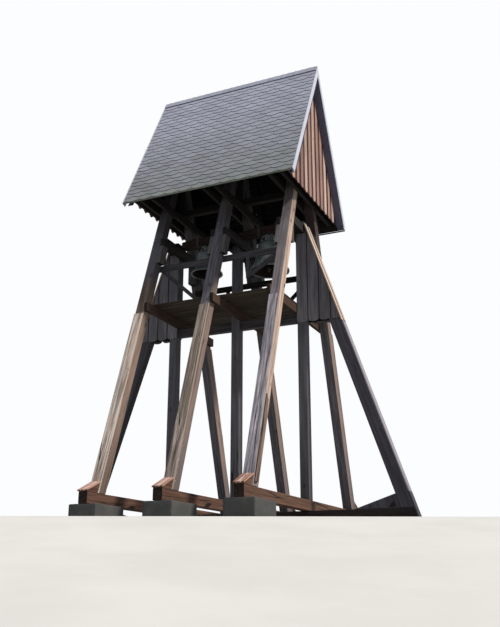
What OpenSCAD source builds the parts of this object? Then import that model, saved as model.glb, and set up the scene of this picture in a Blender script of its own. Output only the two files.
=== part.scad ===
// Open timber bell tower: three raking frames on sills, end braces, a bell platform and a shingled roof.
// Millimetres. X runs along the ridge, Y from front to back, Z up from the ground.

/* [Frames] */
// Distance between neighbouring frames
bay = 1560; // [1300:10:2080]
// Side of a square upright post
post_w = 195; // [150:1:230]
// Height of the top of a post above the ground
post_top_z = 6301; // [5980:1:6680]
// Width of a raking leg, along the ridge
leg_w = 208; // [170:1:250]
// Thickness of a raking leg, measured level
leg_t = 229; // [190:1:260]
// Distance of a leg's centre line from the middle plane, at ground level
leg_foot_y = 2922; // [2680:1:3120]
// Lean of a leg, as level run for each unit of height
leg_lean = 0.329; // [0.30:0.001:0.35]
// Thickness of the board that covers a leg's outer face
cover_t = 31; // [21:1:44]
// Width of the board that covers a leg's outer face
cover_w = 229; // [210:1:260]
// Height at which the cover board of a leg ends
cover_top_z = 4429; // [4070:1:4470]

/* [Sills and footings] */
// Height of a stone plinth at a leg
plinth_h = 347; // [260:1:440]
// Width of a plinth, along the ridge
plinth_w = 598; // [430:1:700]
// Length of a plinth, across the ridge
plinth_l = 936; // [780:1:1040]
// How far a plinth reaches past a cross sill's end
plinth_out = 9; // [1:1:35]
// How far a plinth's top edge is worn back
plinth_worn = 16; // [4:1:35]
// Side of a low stone under the long sill
pad_w = 485; // [340:1:610]
// Height of a sill timber
sill_h = 208; // [170:1:250]
// Width of a sill timber
sill_w = 195; // [170:1:230]
// Length of a cross sill beyond the outer face of a leg's foot
sill_out = 347; // [210:1:390]
// Thickness of the cap board over a sill's end
cap_t = 29; // [17:1:44]
// Rise of that cap board for each unit of its length
cap_pitch = 0.46; // [0.30:0.01:0.60]
// How far that cap board reaches past the sill's end
cap_out = 30; // [13:1:52]
// Height of the cap board's lower edge above the sill
cap_lift = 7; // [1:1:18]

/* [End braces] */
// Distance of a brace's centre line from the middle of the tower, at ground level
brace_foot_x = 3736; // [3460:1:3900]
// Height of a brace's upper tip above the bearing beams
brace_head = 35; // [8:1:104]
// Thickness of an end brace, measured level
brace_t = 260; // [200:1:300]
// Height of the joint between a brace and its foot
brace_joint_z = 650; // [520:1:780]
// Length of the wedge on the sill behind a brace
haunch_l = 910; // [520:1:1040]
// Height of that wedge at the brace
haunch_h = 269; // [170:1:300]
// Height at which the boards that enclose a brace start
wing_z0 = 4299; // [4070:1:4420]
// Width of one board of the enclosure
wing_board_w = 251; // [170:1:280]
// Thickness of those boards
wing_board_t = 26; // [17:1:35]
// Gap between the board on a brace and the boards of its enclosure
wing_gap = 104; // [50:1:180]
// Width of the notch between two rounded ends
wing_notch = 40; // [17:1:70]
// Depth of the rounded ends of those boards
wing_scallop = 48; // [17:1:70]
// Thickness of the boards that cap the enclosure
wing_cap_t = 28; // [17:1:44]
// How far those cap boards reach past the boards below
wing_cap_out = 35; // [17:1:70]

/* [Platform] */
// Height of the top of the platform floor
floor_z = 4715; // [4590:1:4860]
// Thickness of the floor planks
floor_t = 43; // [30:1:61]
// Height of a tie plank under the floor
tie_h = 191; // [150:1:210]
// Thickness of a tie plank under the floor
tie_t = 78; // [52:1:104]
// Height of the long beams between the posts
long_beam_h = 191; // [130:1:210]
// Width of the long beams between the posts
long_beam_w = 104; // [60:1:140]
// Height of the top of a railing above the floor
rail_z = 1005; // [820:1:1040]
// Height of a railing plank
rail_h = 134; // [80:1:160]
// Thickness of a railing plank
rail_t = 48; // [34:1:70]
// Width of a railing strut
strut_w = 82; // [52:1:104]
// Distance of a strut's upper end from an outer frame
strut_out = 130; // [110:1:260]
// Distance of the short strut's lower end from the middle frame
strut_foot_x = 407; // [260:1:610]
// Distance of the hanging piece from the middle frame
hanger_x = 672; // [520:1:870]
// Height of the hanging piece's lower end above the floor
hanger_z = 451; // [300:1:610]
// Gap between the floor and the middle post
post_gap = 2; // [1:1:10]
// Gap between the floor's edge and the legs
floor_gap = 10; // [4:1:26]

/* [Bell frame] */
// Height of a bearing beam
beam_h = 199; // [170:1:250]
// Length of the cleat under a bearing beam's end
cleat_l = 451; // [300:1:570]
// Thickness of that cleat at the beam
cleat_t = 52; // [34:1:78]
// Width of that cleat, along the ridge
cleat_w = 167; // [130:1:190]
// Height of a bearing block
block_h = 95; // [78:1:130]
// Length of a bearing block, across the ridge
block_l = 260; // [170:1:350]
// Width of a bearing block, along the ridge
block_w = 156; // [130:1:190]
// Radius of a gudgeon
gudgeon_r = 19; // [13:1:26]
// Clearance around a gudgeon in its bearing
gudgeon_gap = 0.05; // [0.03:0.01:0.09]
// Height of a headstock
stock_h = 199; // [150:1:250]
// Width of a headstock
stock_w = 191; // [150:1:230]
// Gap between a headstock's end and a bearing beam
stock_gap = 52; // [26:1:104]
// Drop of a headstock's shoulders below its middle
stock_drop = 48; // [17:1:70]
// Width of an iron strap
strap_w = 43; // [30:1:61]
// Thickness of an iron strap
strap_t = 10; // [6:1:14]
// Distance of a gudgeon's end from a bearing's middle
gudgeon_short = 9; // [4:1:35]
// How far a strap reaches past the headstock, up and down
strap_out = 52; // [26:1:61]

/* [Bells] */
// Mouth diameter of the bell in the left bay
bell_d_left = 737; // [600:1:830]
// Mouth diameter of the bell in the right bay
bell_d_right = 901; // [780:1:960]
// Height of the crown over the bell in the left bay
crown_left = 133; // [90:1:200]
// Height of the crown over the bell in the right bay
crown_right = 167; // [90:1:210]

/* [Roof] */
// Distance of a gable wall beyond an outer frame
gable_out = 295; // [210:1:370]
// Distance of the roof's end beyond a gable wall
verge_out = 190; // [150:1:260]
// Height of the roof's apex
apex_z = 10513; // [10220:1:10750]
// Distance of an eave from the middle plane
eave_y = 1722; // [1600:1:1820]
// Height of an eave's outer edge
eave_z = 7043; // [6930:1:7200]
// Thickness of the boarded and shingled slope
slope_t = 45; // [35:1:70]
// Depth of a rafter, square to the slope
rafter_d = 130; // [90:1:160]
// Width of a rafter
rafter_w = 87; // [60:1:113]
// Thickness of the verge boards
verge_t = 22; // [13:1:35]
// Depth of the verge boards, square to the slope
verge_d = 113; // [70:1:160]
// Thickness of the ridge capping
ridge_cap_t = 14; // [6:1:22]
// Width of one wing of the ridge capping
ridge_cap_w = 130; // [80:1:200]
// Thickness of the gable boards
gable_t = 26; // [17:1:35]
// Height of the gable boards' lower tips
gable_z0 = 7063; // [6970:1:7200]
// Width of one gable board
gable_board_w = 251; // [180:1:300]
// Depth of the pointed ends of the gable boards
gable_point = 65; // [26:1:96]
// Height of a roof tie
roof_tie_h = 173; // [130:1:210]
// Thickness of a roof tie plank
roof_tie_t = 69; // [52:1:96]
// Height of a wall plate
plate_h = 104; // [70:1:130]
// Width of a wall plate
plate_w = 147; // [100:1:180]
// Width of the ridge beam
ridge_w = 130; // [90:1:160]
// Height of the ridge beam
ridge_h = 156; // [120:1:200]
// Height of the roof ties' upper edges
roof_tie_z1 = 7280; // [7190:10:7330]
// Height of the beam along the middle of the roof ties
loft_beam_h = 152; // [100:1:200]
// Side of a king post, across the ridge
king_w = 130; // [90:1:160]

/* [Hidden] */
$fn = 96;
eps = 0.3;
lap = 2 * eps;
xs = [-bay, 0, bay];

// a brace leans from its foot to a point above the bearing beams, on the post's outer face
brace_x0 = bay + post_w / 2;
brace_lean = (brace_foot_x + brace_t / 2 - brace_x0) / (post_top_z + beam_h + brace_head);

// sills
long_sill_z1 = plinth_h;
long_sill_z0 = long_sill_z1 - sill_h;
sill_z0 = plinth_h;
sill_z1 = sill_z0 + sill_h;
sill_end_y = leg_outer(sill_z1) + sill_out;
long_sill_x = brace_outer(long_sill_z0);

// a leg's faces as distances from the middle plane
function leg_mid(z) = leg_foot_y - leg_lean * z;
function leg_outer(z) = leg_mid(z) + leg_t / 2;
function leg_inner(z) = leg_mid(z) - leg_t / 2;
function leg_outer_z(y) = (leg_foot_y + leg_t / 2 - y) / leg_lean;
function leg_inner_z(y) = (leg_foot_y - leg_t / 2 - y) / leg_lean;

// a brace's faces as distances from the middle of the tower
function brace_mid(z) = brace_foot_x - brace_lean * z;
function brace_outer(z) = brace_mid(z) + brace_t / 2;
function brace_inner(z) = brace_mid(z) - brace_t / 2;
function brace_outer_z(x) = (brace_foot_x + brace_t / 2 - x) / brace_lean;
function brace_inner_z(x) = (brace_foot_x - brace_t / 2 - x) / brace_lean;

// platform
tie_z1 = floor_z - floor_t;
tie_z0 = tie_z1 - tie_h;
floor_y = leg_inner(floor_z) - floor_gap;
floor_x = bay - leg_w / 2;
long_beam_z1 = tie_z0 - eps;
rail_z1 = floor_z + rail_z;
rail_y = leg_inner(rail_z1);

// bell frame
beam_z0 = post_top_z;
beam_z1 = beam_z0 + beam_h;
beam_y = leg_inner(beam_z1) - eps;
pivot_z = beam_z1 + block_h / 2;
stock_z0 = pivot_z - stock_h / 2;
stock_l = bay - post_w - 2 * stock_gap;
mouth_z_left = stock_z0 - crown_left - bell_h(bell_d_left);
mouth_z_right = stock_z0 - crown_right - bell_h(bell_d_right);

// roof
gable_x = bay + gable_out;
roof_l = 2 * (gable_x + verge_out);
slope = (apex_z - eave_z) / eave_y;
lift = sqrt(1 + slope * slope);
under_z = apex_z - slope_t * lift;
rafter_z = under_z - rafter_d * lift;
slab_l = roof_l - 2 * verge_t;
roof_tie_z0 = roof_tie_z1 - roof_tie_h;
plate_z1 = roof_tie_z1 + plate_h;
plate_gap = 2;
plate_y = (under_z - plate_z1) / slope - plate_gap;
ridge_z0 = under_z - slope * ridge_w / 2 - ridge_h - eps;
loft_beam_z1 = roof_tie_z1 + loft_beam_h;
rafter_pairs = 3;
rafter_in = gable_t / 2 + rafter_w;
rafter_xs = [for (i = [-rafter_pairs : rafter_pairs]) i * (gable_x - rafter_in) / rafter_pairs];

// helpers: outlines are drawn in the plane named and given a thickness centred on the third axis
module yz(w, x = 0) { translate([x - w / 2, 0, 0]) rotate([90, 0, 90]) linear_extrude(w) children(); }
module xz(w, y = 0) { translate([0, y + w / 2, 0]) rotate([90, 0, 0]) linear_extrude(w) children(); }
module block(size, at) { translate([at[0] - size[0] / 2, at[1] - size[1] / 2, at[2]]) cube(size); }
module both_y() { children(); mirror([0, 1, 0]) children(); }
module both_x() { children(); mirror([1, 0, 0]) children(); }

// footings
module worn_block(size, at) {
    translate([at[0], at[1], at[2]])
        polyhedron(
            points = [for (k = [[0, 0], [size[2] - plinth_worn, 0], [size[2], plinth_worn]])
                for (c = [[-1, -1], [1, -1], [1, 1], [-1, 1]])
                    [c[0] * (size[0] / 2 - k[1]), c[1] * (size[1] / 2 - k[1]), k[0]]],
            faces = concat([[0, 1, 2, 3], [11, 10, 9, 8]],
                [for (r = [0, 1]) for (i = [0 : 3])
                    [4 * r + (i + 1) % 4, 4 * r + i, 4 * r + i + 4, 4 * r + (i + 1) % 4 + 4]]));
}

module plinths() {
    y0 = sill_end_y + plinth_out - plinth_l / 2;
    pad_x = brace_inner(long_sill_z0) - pad_w / 4;
    color("dimgray") {
        for (x = xs) for (s = [-1, 1]) worn_block([plinth_w, plinth_l, plinth_h], [x, s * y0, 0]);
        for (x = concat(xs, [-pad_x, pad_x])) worn_block([pad_w, pad_w, long_sill_z0], [x, 0, 0]);
    }
}

// sills
module cross_sill(x) {
    color("saddlebrown") block([sill_w, 2 * sill_end_y, sill_h], [x, 0, sill_z0]);
}

module long_sill() {
    z1 = long_sill_z1;
    color([0.16, 0.13, 0.11]) xz(sill_w) polygon([
        [-long_sill_x, long_sill_z0], [long_sill_x, long_sill_z0],
        [brace_outer(z1), z1], [-brace_outer(z1), z1]]);
}

// raking legs: each pair leans on the two sides of a king post
module leg(x) {
    y = king_w / 2 + eps;
    yz(leg_w, x) polygon([
        [-leg_outer(sill_z1), sill_z1], [-leg_inner(sill_z1), sill_z1],
        [-y, leg_inner_z(y)], [-y, leg_outer_z(y)]]);
}
module front_leg(x) { color([0.36, 0.25, 0.2]) leg(x); }
module rear_leg(x) { color([0.36, 0.25, 0.2]) mirror([0, 1, 0]) leg(x); }

module leg_covers() {
    z0 = sill_z1;
    color([0.45, 0.37, 0.3]) for (x = xs) both_y()
        yz(cover_w, x) polygon([
            [-cover_y(z0), z0], [-leg_outer(z0) - eps, z0],
            [-leg_outer(cover_top_z) - eps, cover_top_z], [-cover_y(cover_top_z), cover_top_z]]);
}

// the sill's end in front of a leg: a wedge of timber under a sloped cap board
function cap_z(y) = sill_z1 + cap_lift + (sill_end_y + cap_out - y) * cap_pitch;
function cover_y(z) = leg_outer(z) + eps + cover_t;
function cap_hit(off) = eps + (cover_y(0) - leg_lean * (cap_z(0) + off)) / (1 - leg_lean * cap_pitch);
module foot_wedges() {
    yc = cap_hit(0);
    color([0.3, 0.22, 0.16]) for (x = xs) both_y()
        yz(sill_w, x) polygon([
            [-sill_end_y, sill_z1], [-cover_y(sill_z1) - eps, sill_z1],
            [-yc, cap_z(yc)], [-sill_end_y, cap_z(sill_end_y)]]);
}

module foot_caps() {
    y0 = sill_end_y + cap_out;
    y1 = cap_hit(eps);
    y2 = cap_hit(cap_t);
    color([0.75, 0.42, 0.3]) for (x = xs) both_y()
        yz(cover_w, x) polygon([
            [-y0, cap_z(y0) + eps], [-y1, cap_z(y1) + eps],
            [-y2, cap_z(y2) + cap_t], [-y0, cap_z(y0) + cap_t]]);
}

// uprights
module post(x) {
    color([0.2, 0.17, 0.15]) block([post_w, post_w, post_top_z - sill_z1], [x, 0, sill_z1]);
}

// end braces
module end_brace(side) {
    z0 = long_sill_z1;
    color([0.2, 0.17, 0.15]) scale_x(side) xz(post_w) polygon([
        [brace_inner(z0), z0], [brace_outer(z0), z0],
        [brace_x0, brace_outer_z(brace_x0)], [brace_x0, brace_inner_z(brace_x0)]]);
}
module scale_x(side) { if (side < 0) mirror([1, 0, 0]) children(); else children(); }

module end_covers() {
    color([0.45, 0.37, 0.3]) both_x()
        brace_board(brace_joint_z, wing_z0 - wing_gap, cover_w, cover_t);
}

// a board on a brace's outer face, between two heights
module brace_board(z0, z1, w, t) {
    xz(w) polygon([
        [brace_outer(z0) + eps, z0], [brace_outer(z0) + eps + t, z0],
        [brace_outer(z1) + eps + t, z1], [brace_outer(z1) + eps, z1]]);
}

// the wedge behind a brace's foot, and the board over the sill's end
module end_feet() {
    z0 = long_sill_z1;
    zt = z0 + haunch_h;
    color([0.2, 0.17, 0.15]) both_x() {
        xz(post_w) polygon([
            [brace_inner(z0) - haunch_l, z0], [brace_inner(z0) - eps, z0], [brace_inner(zt) - eps, zt]]);
        brace_board(long_sill_z0, brace_joint_z - eps, cover_w, cover_t);
    }
}

// boarded enclosure of a brace's upper end: two faces of upright boards with rounded lower ends
wing_x0 = bay - post_w / 2;
wing_top_gap = 4;
wing_z1 = post_top_z - wing_top_gap;
module wing_outline() {
    n = ceil((brace_outer(wing_z0) - wing_x0) / wing_board_w);
    x1 = brace_outer(wing_z0);
    intersection() {
        polygon([
            [wing_x0, wing_z0 - wing_scallop],
            [brace_outer(wing_z0 - wing_scallop), wing_z0 - wing_scallop],
            [brace_outer(wing_z1), wing_z1], [wing_x0, wing_z1]]);
        union() {
            translate([wing_x0, wing_z0]) square([x1 - wing_x0 + wing_board_w, wing_z1 - wing_z0]);
            for (i = [0 : n - 1])
                translate([wing_x0 + (i + 0.5) * wing_board_w, wing_z0])
                    scallop();
        }
    }
}
module scallop() {
    w = (wing_board_w - wing_notch) / 2;
    polygon(concat([[w, 1]], [for (a = [0 : -30 : -180]) [w * cos(a), wing_scallop * sin(a)]], [[-w, 1]]));
}
module wing(side) {
    color([0.2, 0.18, 0.18]) scale_x(side) both_y()
        xz(wing_board_t, -post_w / 2 - wing_board_t / 2) wing_outline();
}

module wing_caps() {
    z0 = wing_z0 - wing_gap + eps;
    z1 = beam_z1 + brace_head / 2;
    w = post_w + 2 * wing_board_t + 2 * wing_cap_out;
    t = wing_cap_t * sqrt(1 + brace_lean * brace_lean);
    color([0.45, 0.3, 0.22]) both_x() brace_board(z0, z1, w, t);
}

// platform: a tie plank lies on the inner side of each outer frame, and on the right side of the middle one
function tie_x(x) = x + (x > 0 ? -1 : 1) * (leg_w + tie_t) / 2;
module tie_planks() {
    color([0.5, 0.4, 0.32]) for (x = xs)
        block([tie_t, 2 * leg_outer(tie_z0), tie_h], [tie_x(x), 0, tie_z0]);
}

module platform_beams() {
    color([0.25, 0.2, 0.17]) both_x()
        block([bay - post_w - lap, long_beam_w, long_beam_h], [bay / 2, 0, long_beam_z1 - long_beam_h]);
}

module platform_floor() {
    hole = post_w + 2 * post_gap;
    color([0.4, 0.35, 0.25]) difference() {
        block([2 * floor_x, 2 * floor_y, floor_t], [0, 0, tie_z1]);
        block([hole, hole, 3 * floor_t], [0, 0, tie_z1 - floor_t]);
    }
}

// a railing plank on the inner faces of the legs, with its struts
module strut(a, b) {
    d = b - a;
    n = [-d[1], d[0]] / norm(d) * strut_w / 2;
    polygon([a - n, b - n, b + n, a + n]);
}
module rail() {
    z0 = rail_z1 - rail_h;
    strut_x = bay - strut_out;
    hang_z = floor_z + hanger_z;
    y = -rail_y + rail_t / 2 + eps;
    color([0.3, 0.25, 0.22]) {
        block([2 * bay, rail_t, rail_h], [0, y, z0]);
        xz(rail_t, y) intersection() {
            translate([-bay, floor_z + eps / 2]) square([2 * bay, rail_z - rail_h - eps]);
            union() {
                strut([-strut_x, z0 + strut_w / 3], [-strut_foot_x, floor_z - strut_w / 3]);
                strut([strut_x, z0 + strut_w / 3], [hanger_x, hang_z]);
                translate([hanger_x - strut_w / 2, hang_z - strut_w / 2]) square([strut_w, rail_z]);
            }
        }
    }
}
module rail_front() { rail(); }
module rail_rear() { rotate([0, 0, 180]) rail(); }

// beams that carry the bells
module bearing_beams() {
    color([0.2, 0.17, 0.15]) for (x = xs)
        yz(post_w, x) polygon([
            [-leg_inner(beam_z0) + eps, beam_z0], [leg_inner(beam_z0) - eps, beam_z0],
            [leg_inner(beam_z1) - eps, beam_z1], [-leg_inner(beam_z1) + eps, beam_z1]]);
}

module bearing_cleats() {
    z0 = beam_z0 - cleat_l;
    z1 = beam_z0 - eps;
    y = leg_inner(beam_z0) - cleat_t;
    color([0.36, 0.3, 0.26]) for (x = xs) both_y()
        yz(cleat_w, x) polygon([
            [-leg_inner(z0) + eps, z0], [-y, z0], [-y, z1], [-leg_inner(z1) + eps, z1]]);
}

module bearing_blocks() {
    color([0.22, 0.2, 0.19]) for (x = xs)
        difference() {
            block([block_w, block_l, block_h], [x, 0, beam_z1]);
            translate([x - post_w, 0, pivot_z]) rotate([0, 90, 0])
                cylinder(r = gudgeon_r + gudgeon_gap, h = 2 * post_w);
        }
}

// roof frame
module roof_ties() {
    off = (leg_w + roof_tie_t + lap) / 2;
    color([0.2, 0.17, 0.15]) for (x = xs) for (s = [-off, off])
        block([roof_tie_t, 2 * plate_y, roof_tie_h], [x + s, 0, roof_tie_z0]);
}

module loft_beam() {
    color([0.3, 0.24, 0.2]) block([2 * gable_x - gable_t - lap, king_w, loft_beam_h], [0, 0, roof_tie_z1]);
}

module wall_plates() {
    color([0.2, 0.17, 0.15]) both_y()
        block([2 * gable_x - gable_t - lap, plate_w, plate_h], [0, -plate_y + plate_w / 2, roof_tie_z1]);
}

module rafter(x, foot_z) {
    y1 = (rafter_z - foot_z) / slope;
    y2 = (under_z - eps - foot_z) / slope;
    yr = ridge_w / 2 + eps;
    yz(rafter_w, x) polygon([
        [-yr, rafter_z - slope * yr], [-yr, under_z - eps - slope * yr], [-y2, foot_z], [-y1, foot_z]]);
}
module rafters() {
    color([0.2, 0.17, 0.15]) {
        for (x = rafter_xs) rafter(x, plate_z1);
        both_x() rafter(gable_x + (gable_t + rafter_w) / 2 + eps, gable_z0 + gable_point);
    }
}
module rafters_front() { rafters(); }
module rafters_rear() { mirror([0, 1, 0]) rafters(); }

module ridge_beam() {
    color([0.2, 0.17, 0.15]) block([slab_l - lap, ridge_w, ridge_h], [0, 0, ridge_z0]);
}

module king_posts() {
    color([0.2, 0.17, 0.15]) for (x = xs)
        block([leg_w - lap, king_w, ridge_z0 - loft_beam_z1], [x, 0, loft_beam_z1]);
}

// roof covering
module slope_slab() {
    color([0.42, 0.42, 0.42]) yz(slab_l) polygon([
        [0, under_z], [0, apex_z], [-eave_y, eave_z],
        [-eave_y + slope_t * slope / lift, eave_z - slope_t / lift]]);
}
module roof_front() { slope_slab(); }
module roof_rear() { mirror([0, 1, 0]) slope_slab(); }

// two strips that meet over the ridge
module ridge_cap() {
    z0 = apex_z + eps;
    y = ridge_cap_w / lift;
    y_out = y + ridge_cap_t * slope / lift;
    z_out = z0 - slope * y + ridge_cap_t / lift;
    z_in = z0 - slope * eps;
    color([0.45, 0.45, 0.45]) both_y() yz(slab_l) polygon([
        [-eps, z_in], [-y, z0 - slope * y], [-y_out, z_out], [-eps, z_in + ridge_cap_t * lift]]);
}

module verge_boards() {
    v = verge_d * lift;
    x = slab_l / 2 + verge_t / 2;
    color([0.75, 0.78, 0.82]) both_x() both_y() yz(verge_t, x) polygon([
        [0, apex_z - v], [0, apex_z], [-eave_y, eave_z],
        [-eave_y + verge_d * slope / lift, eave_z - verge_d / lift]]);
}

// gable walls of upright boards with pointed lower ends
module gable_outline() {
    ztop = under_z - eps;
    z1 = gable_z0 + gable_point;
    y1 = (ztop - z1) / slope;
    n = ceil(2 * y1 / gable_board_w);
    w = 2 * y1 / n;
    notch = ridge_w + lap;
    difference() {
        polygon(concat([[y1, z1], [0, ztop]],
            [for (i = [0 : n - 1]) each [[-y1 + i * w, z1], [-y1 + (i + 0.5) * w, gable_z0]]]));
        translate([-notch / 2, ridge_z0 - eps]) square([notch, ridge_h * 3]);
    }
}
module gable(side) {
    color([0.5, 0.3, 0.2]) yz(gable_t, side * gable_x) gable_outline();
}

// bells: the profile is given as shares of the mouth's radius, up the outside and down the inside
function bell_out(d, h) = [for (p = [[1, 0], [0.985, 0.05], [0.86, 0.14], [0.75, 0.27], [0.665, 0.45],
    [0.61, 0.65], [0.592, 0.73], [0.612, 0.737], [0.61, 0.755], [0.585, 0.762], [0.575, 0.80], [0.594, 0.807],
    [0.59, 0.825], [0.565, 0.832], [0.53, 0.90], [0.42, 0.965], [0.25, 1]]) [p[0] * d / 2, p[1] * h]];
function bell_in(d, h) = [for (p = [[0.2, 0.93], [0.38, 0.905], [0.46, 0.84], [0.5, 0.74], [0.545, 0.58],
    [0.61, 0.40], [0.70, 0.23], [0.80, 0.11], [0.90, 0.0]]) [p[0] * d / 2, p[1] * h]];
function bell_h(d) = 0.79 * d;
module bell(x, d, mouth_z, crown) {
    h = bell_h(d);
    color([0.32, 0.38, 0.33]) translate([x, 0, mouth_z]) {
        rotate_extrude() polygon(concat(bell_out(d, h), [[0, h], [0, 0.93 * h]], bell_in(d, h)));
        for (a = [0, 90]) rotate([0, 0, a]) translate([0, 0, h]) crown_loops(d, crown);
    }
}

// a pair of loops on a bell's head, cut from one plate, whose flat top meets the headstock
module crown_loops(d, crown) {
    t = 0.045 * d;
    w = 0.19 * d;
    sunk = 2;
    hole = w - 1.6 * t;
    xz(t) difference() {
        translate([-w, -sunk]) square([2 * w, crown + sunk - eps]);
        for (x = [-w + t, 0.6 * t]) translate([x, -crown]) square([hole, 2 * crown - t]);
    }
}

// a timber with lower shoulders, from which a bell hangs
module headstock(x) {
    a = stock_l / 2;
    b = a / 2;
    z1 = stock_z0 + stock_h;
    color([0.25, 0.2, 0.17]) translate([x, 0, 0]) xz(stock_w) polygon([
        [-a, stock_z0], [a, stock_z0], [a, z1 - stock_drop], [b, z1],
        [-b, z1], [-a, z1 - stock_drop]]);
}

// iron straps over the headstock, and its two gudgeons
module straps(x) {
    strap_x = stock_l / 6;
    y = (stock_w + strap_t + lap) / 2;
    color([0.15, 0.15, 0.15]) {
        for (dx = [-strap_x, strap_x]) for (s = [-1, 1])
            block([strap_w, strap_t, stock_h + 2 * strap_out], [x + dx, s * y, stock_z0 - strap_out]);
        for (s = [-1, 1])
            translate([x + s * (stock_l / 2 + eps), 0, pivot_z]) rotate([0, s * 90, 0])
                cylinder(r = gudgeon_r, h = stock_gap + post_w / 2 - gudgeon_short);
    }
}

// a rod with a ball and a short tail
module clapper(x, d, mouth_z) {
    h = bell_h(d);
    rod_r = 0.018 * d;
    ball_r = 0.055 * d;
    ball_z = 0.1 * h;
    head_z = 0.93 * h - eps;
    tail_r = 0.03 * d;
    tail_l = 0.09 * h;
    color([0.2, 0.19, 0.18]) translate([x, 0, mouth_z]) {
        translate([0, 0, ball_z]) cylinder(r = rod_r, h = head_z - ball_z);
        translate([0, 0, ball_z]) sphere(r = ball_r);
        translate([0, 0, ball_z - ball_r - tail_l / 2]) cylinder(r = tail_r, h = tail_l);
    }
}

plinths();
cross_sill(-bay);  // cross_sill_left
cross_sill(0);  // cross_sill_mid
cross_sill(bay);  // cross_sill_right
long_sill();
front_leg(-bay);  // front_leg_left
front_leg(0);  // front_leg_mid
front_leg(bay);  // front_leg_right
rear_leg(-bay);  // rear_leg_left
rear_leg(0);  // rear_leg_mid
rear_leg(bay);  // rear_leg_right
leg_covers();
foot_wedges();
foot_caps();
post(-bay);  // post_left
post(0);  // post_mid
post(bay);  // post_right
end_brace(-1);  // end_brace_left
end_brace(1);  // end_brace_right
end_covers();
end_feet();
wing(-1);  // wing_left
wing(1);  // wing_right
wing_caps();
tie_planks();
platform_beams();
platform_floor();
rail_front();
rail_rear();
bearing_beams();
bearing_cleats();
bearing_blocks();
roof_ties();
loft_beam();
wall_plates();
rafters_front();
rafters_rear();
ridge_beam();
king_posts();
roof_front();
roof_rear();
ridge_cap();
verge_boards();
gable(-1);  // gable_left
gable(1);  // gable_right
headstock(-bay / 2);  // headstock_left
bell(-bay / 2, bell_d_left, mouth_z_left, crown_left);  // bell_left
straps(-bay / 2);  // straps_left
clapper(-bay / 2, bell_d_left, mouth_z_left);  // clapper_left
headstock(bay / 2);  // headstock_right
bell(bay / 2, bell_d_right, mouth_z_right, crown_right);  // bell_right
straps(bay / 2);  // straps_right
clapper(bay / 2, bell_d_right, mouth_z_right);  // clapper_right
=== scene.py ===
# %% [markdown]
# # An open timber bell tower
# The real tower is three raking frames of heavy timber with a platform, two bells and a steep roof.
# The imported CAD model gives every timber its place. This script loads it as a fixed frame, gives the
# timbers their wood, and builds the finer pieces that CAD leaves plain: shingles, boards, stones, bells.

# %% Load the frame
import math
import random

import bmesh
import bpy
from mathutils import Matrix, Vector, noise


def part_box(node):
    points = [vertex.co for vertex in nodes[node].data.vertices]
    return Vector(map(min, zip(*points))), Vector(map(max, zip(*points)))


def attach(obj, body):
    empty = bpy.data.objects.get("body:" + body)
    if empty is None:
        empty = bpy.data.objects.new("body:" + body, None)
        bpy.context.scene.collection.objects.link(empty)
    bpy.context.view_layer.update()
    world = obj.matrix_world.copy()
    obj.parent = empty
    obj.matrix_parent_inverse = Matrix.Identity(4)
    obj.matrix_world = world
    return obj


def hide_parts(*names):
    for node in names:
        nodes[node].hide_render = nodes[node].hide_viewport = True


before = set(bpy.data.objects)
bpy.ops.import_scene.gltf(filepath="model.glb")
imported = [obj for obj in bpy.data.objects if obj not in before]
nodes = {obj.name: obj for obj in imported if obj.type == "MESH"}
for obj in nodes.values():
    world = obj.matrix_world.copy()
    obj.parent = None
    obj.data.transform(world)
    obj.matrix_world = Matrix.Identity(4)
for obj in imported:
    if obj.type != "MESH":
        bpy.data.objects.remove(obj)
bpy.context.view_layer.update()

# %% [markdown]
# ## The sizes that the pieces share
# A piece that stands for a CAD node has to lie where the node lies. Most places are read from the nodes'
# boxes. The few that a box can't give, such as a lean, are repeated here from the part's source, in metres.
# TOUCH and HAIR are the gaps that keep two faces that meet from lying in the same plane.

# %% Shared sizes
BAY = sum(corner.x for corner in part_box("post_right")) / 2
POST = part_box("post_right")[1].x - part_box("post_right")[0].x
LEG_LEAN, LEG_FOOT, LEG_T, LEG_W = 0.329, 2.922, 0.229, 0.208
POST_TOP, BEAM_H, BRACE_HEAD, BRACE_TOP = 6.301, 0.199, 0.035, 1.6575
BRACE_FOOT, BRACE_T = 3.736, 0.260
BRACE_LEAN = (BRACE_FOOT + BRACE_T / 2 - BRACE_TOP) / (POST_TOP + BEAM_H + BRACE_HEAD)
EAVE_Y, EAVE_Z, APEX_Z, SLAB = 1.722, 7.043, 10.513, 0.045
PITCH, CAP_PITCH = (APEX_Z - EAVE_Z) / EAVE_Y, 0.46
LIFT = math.hypot(1, PITCH)
ROOF_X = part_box("roof_front")[1].x
GABLE_X = sum(corner.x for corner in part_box("gable_right")) / 2
TOUCH, HAIR = 0.0003, 0.0005
SLOPES, ENDS = ((-1, "front"), (1, "rear")), ((-1, "left"), (1, "right"))
FEET = [(x, side) for x in (-BAY, 0, BAY) for side in (-1, 1)]
print("bay", round(BAY, 3), "post", round(POST, 3), "roof pitch", round(PITCH, 3), "half", round(ROOF_X, 3))


# %% Faces of the leaning timbers
def leg_outer(z):
    """How far a front leg's outer face is from the middle plane at height z."""
    return LEG_FOOT - LEG_LEAN * z + LEG_T / 2


def brace_outer(z):
    """How far an end brace's outer face is from the middle of the tower at height z."""
    return BRACE_FOOT - BRACE_LEAN * z + BRACE_T / 2


print("leg foot", round(leg_outer(0.555), 3), "brace foot", round(brace_outer(0.139), 3))

# %% [markdown]
# ## Camera
# The photograph was taken from below the knoll on which the tower stands, so the camera is lower than the
# tower's feet and looks up. Its place and lens come from fitting the model's edges to the photograph.

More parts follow.
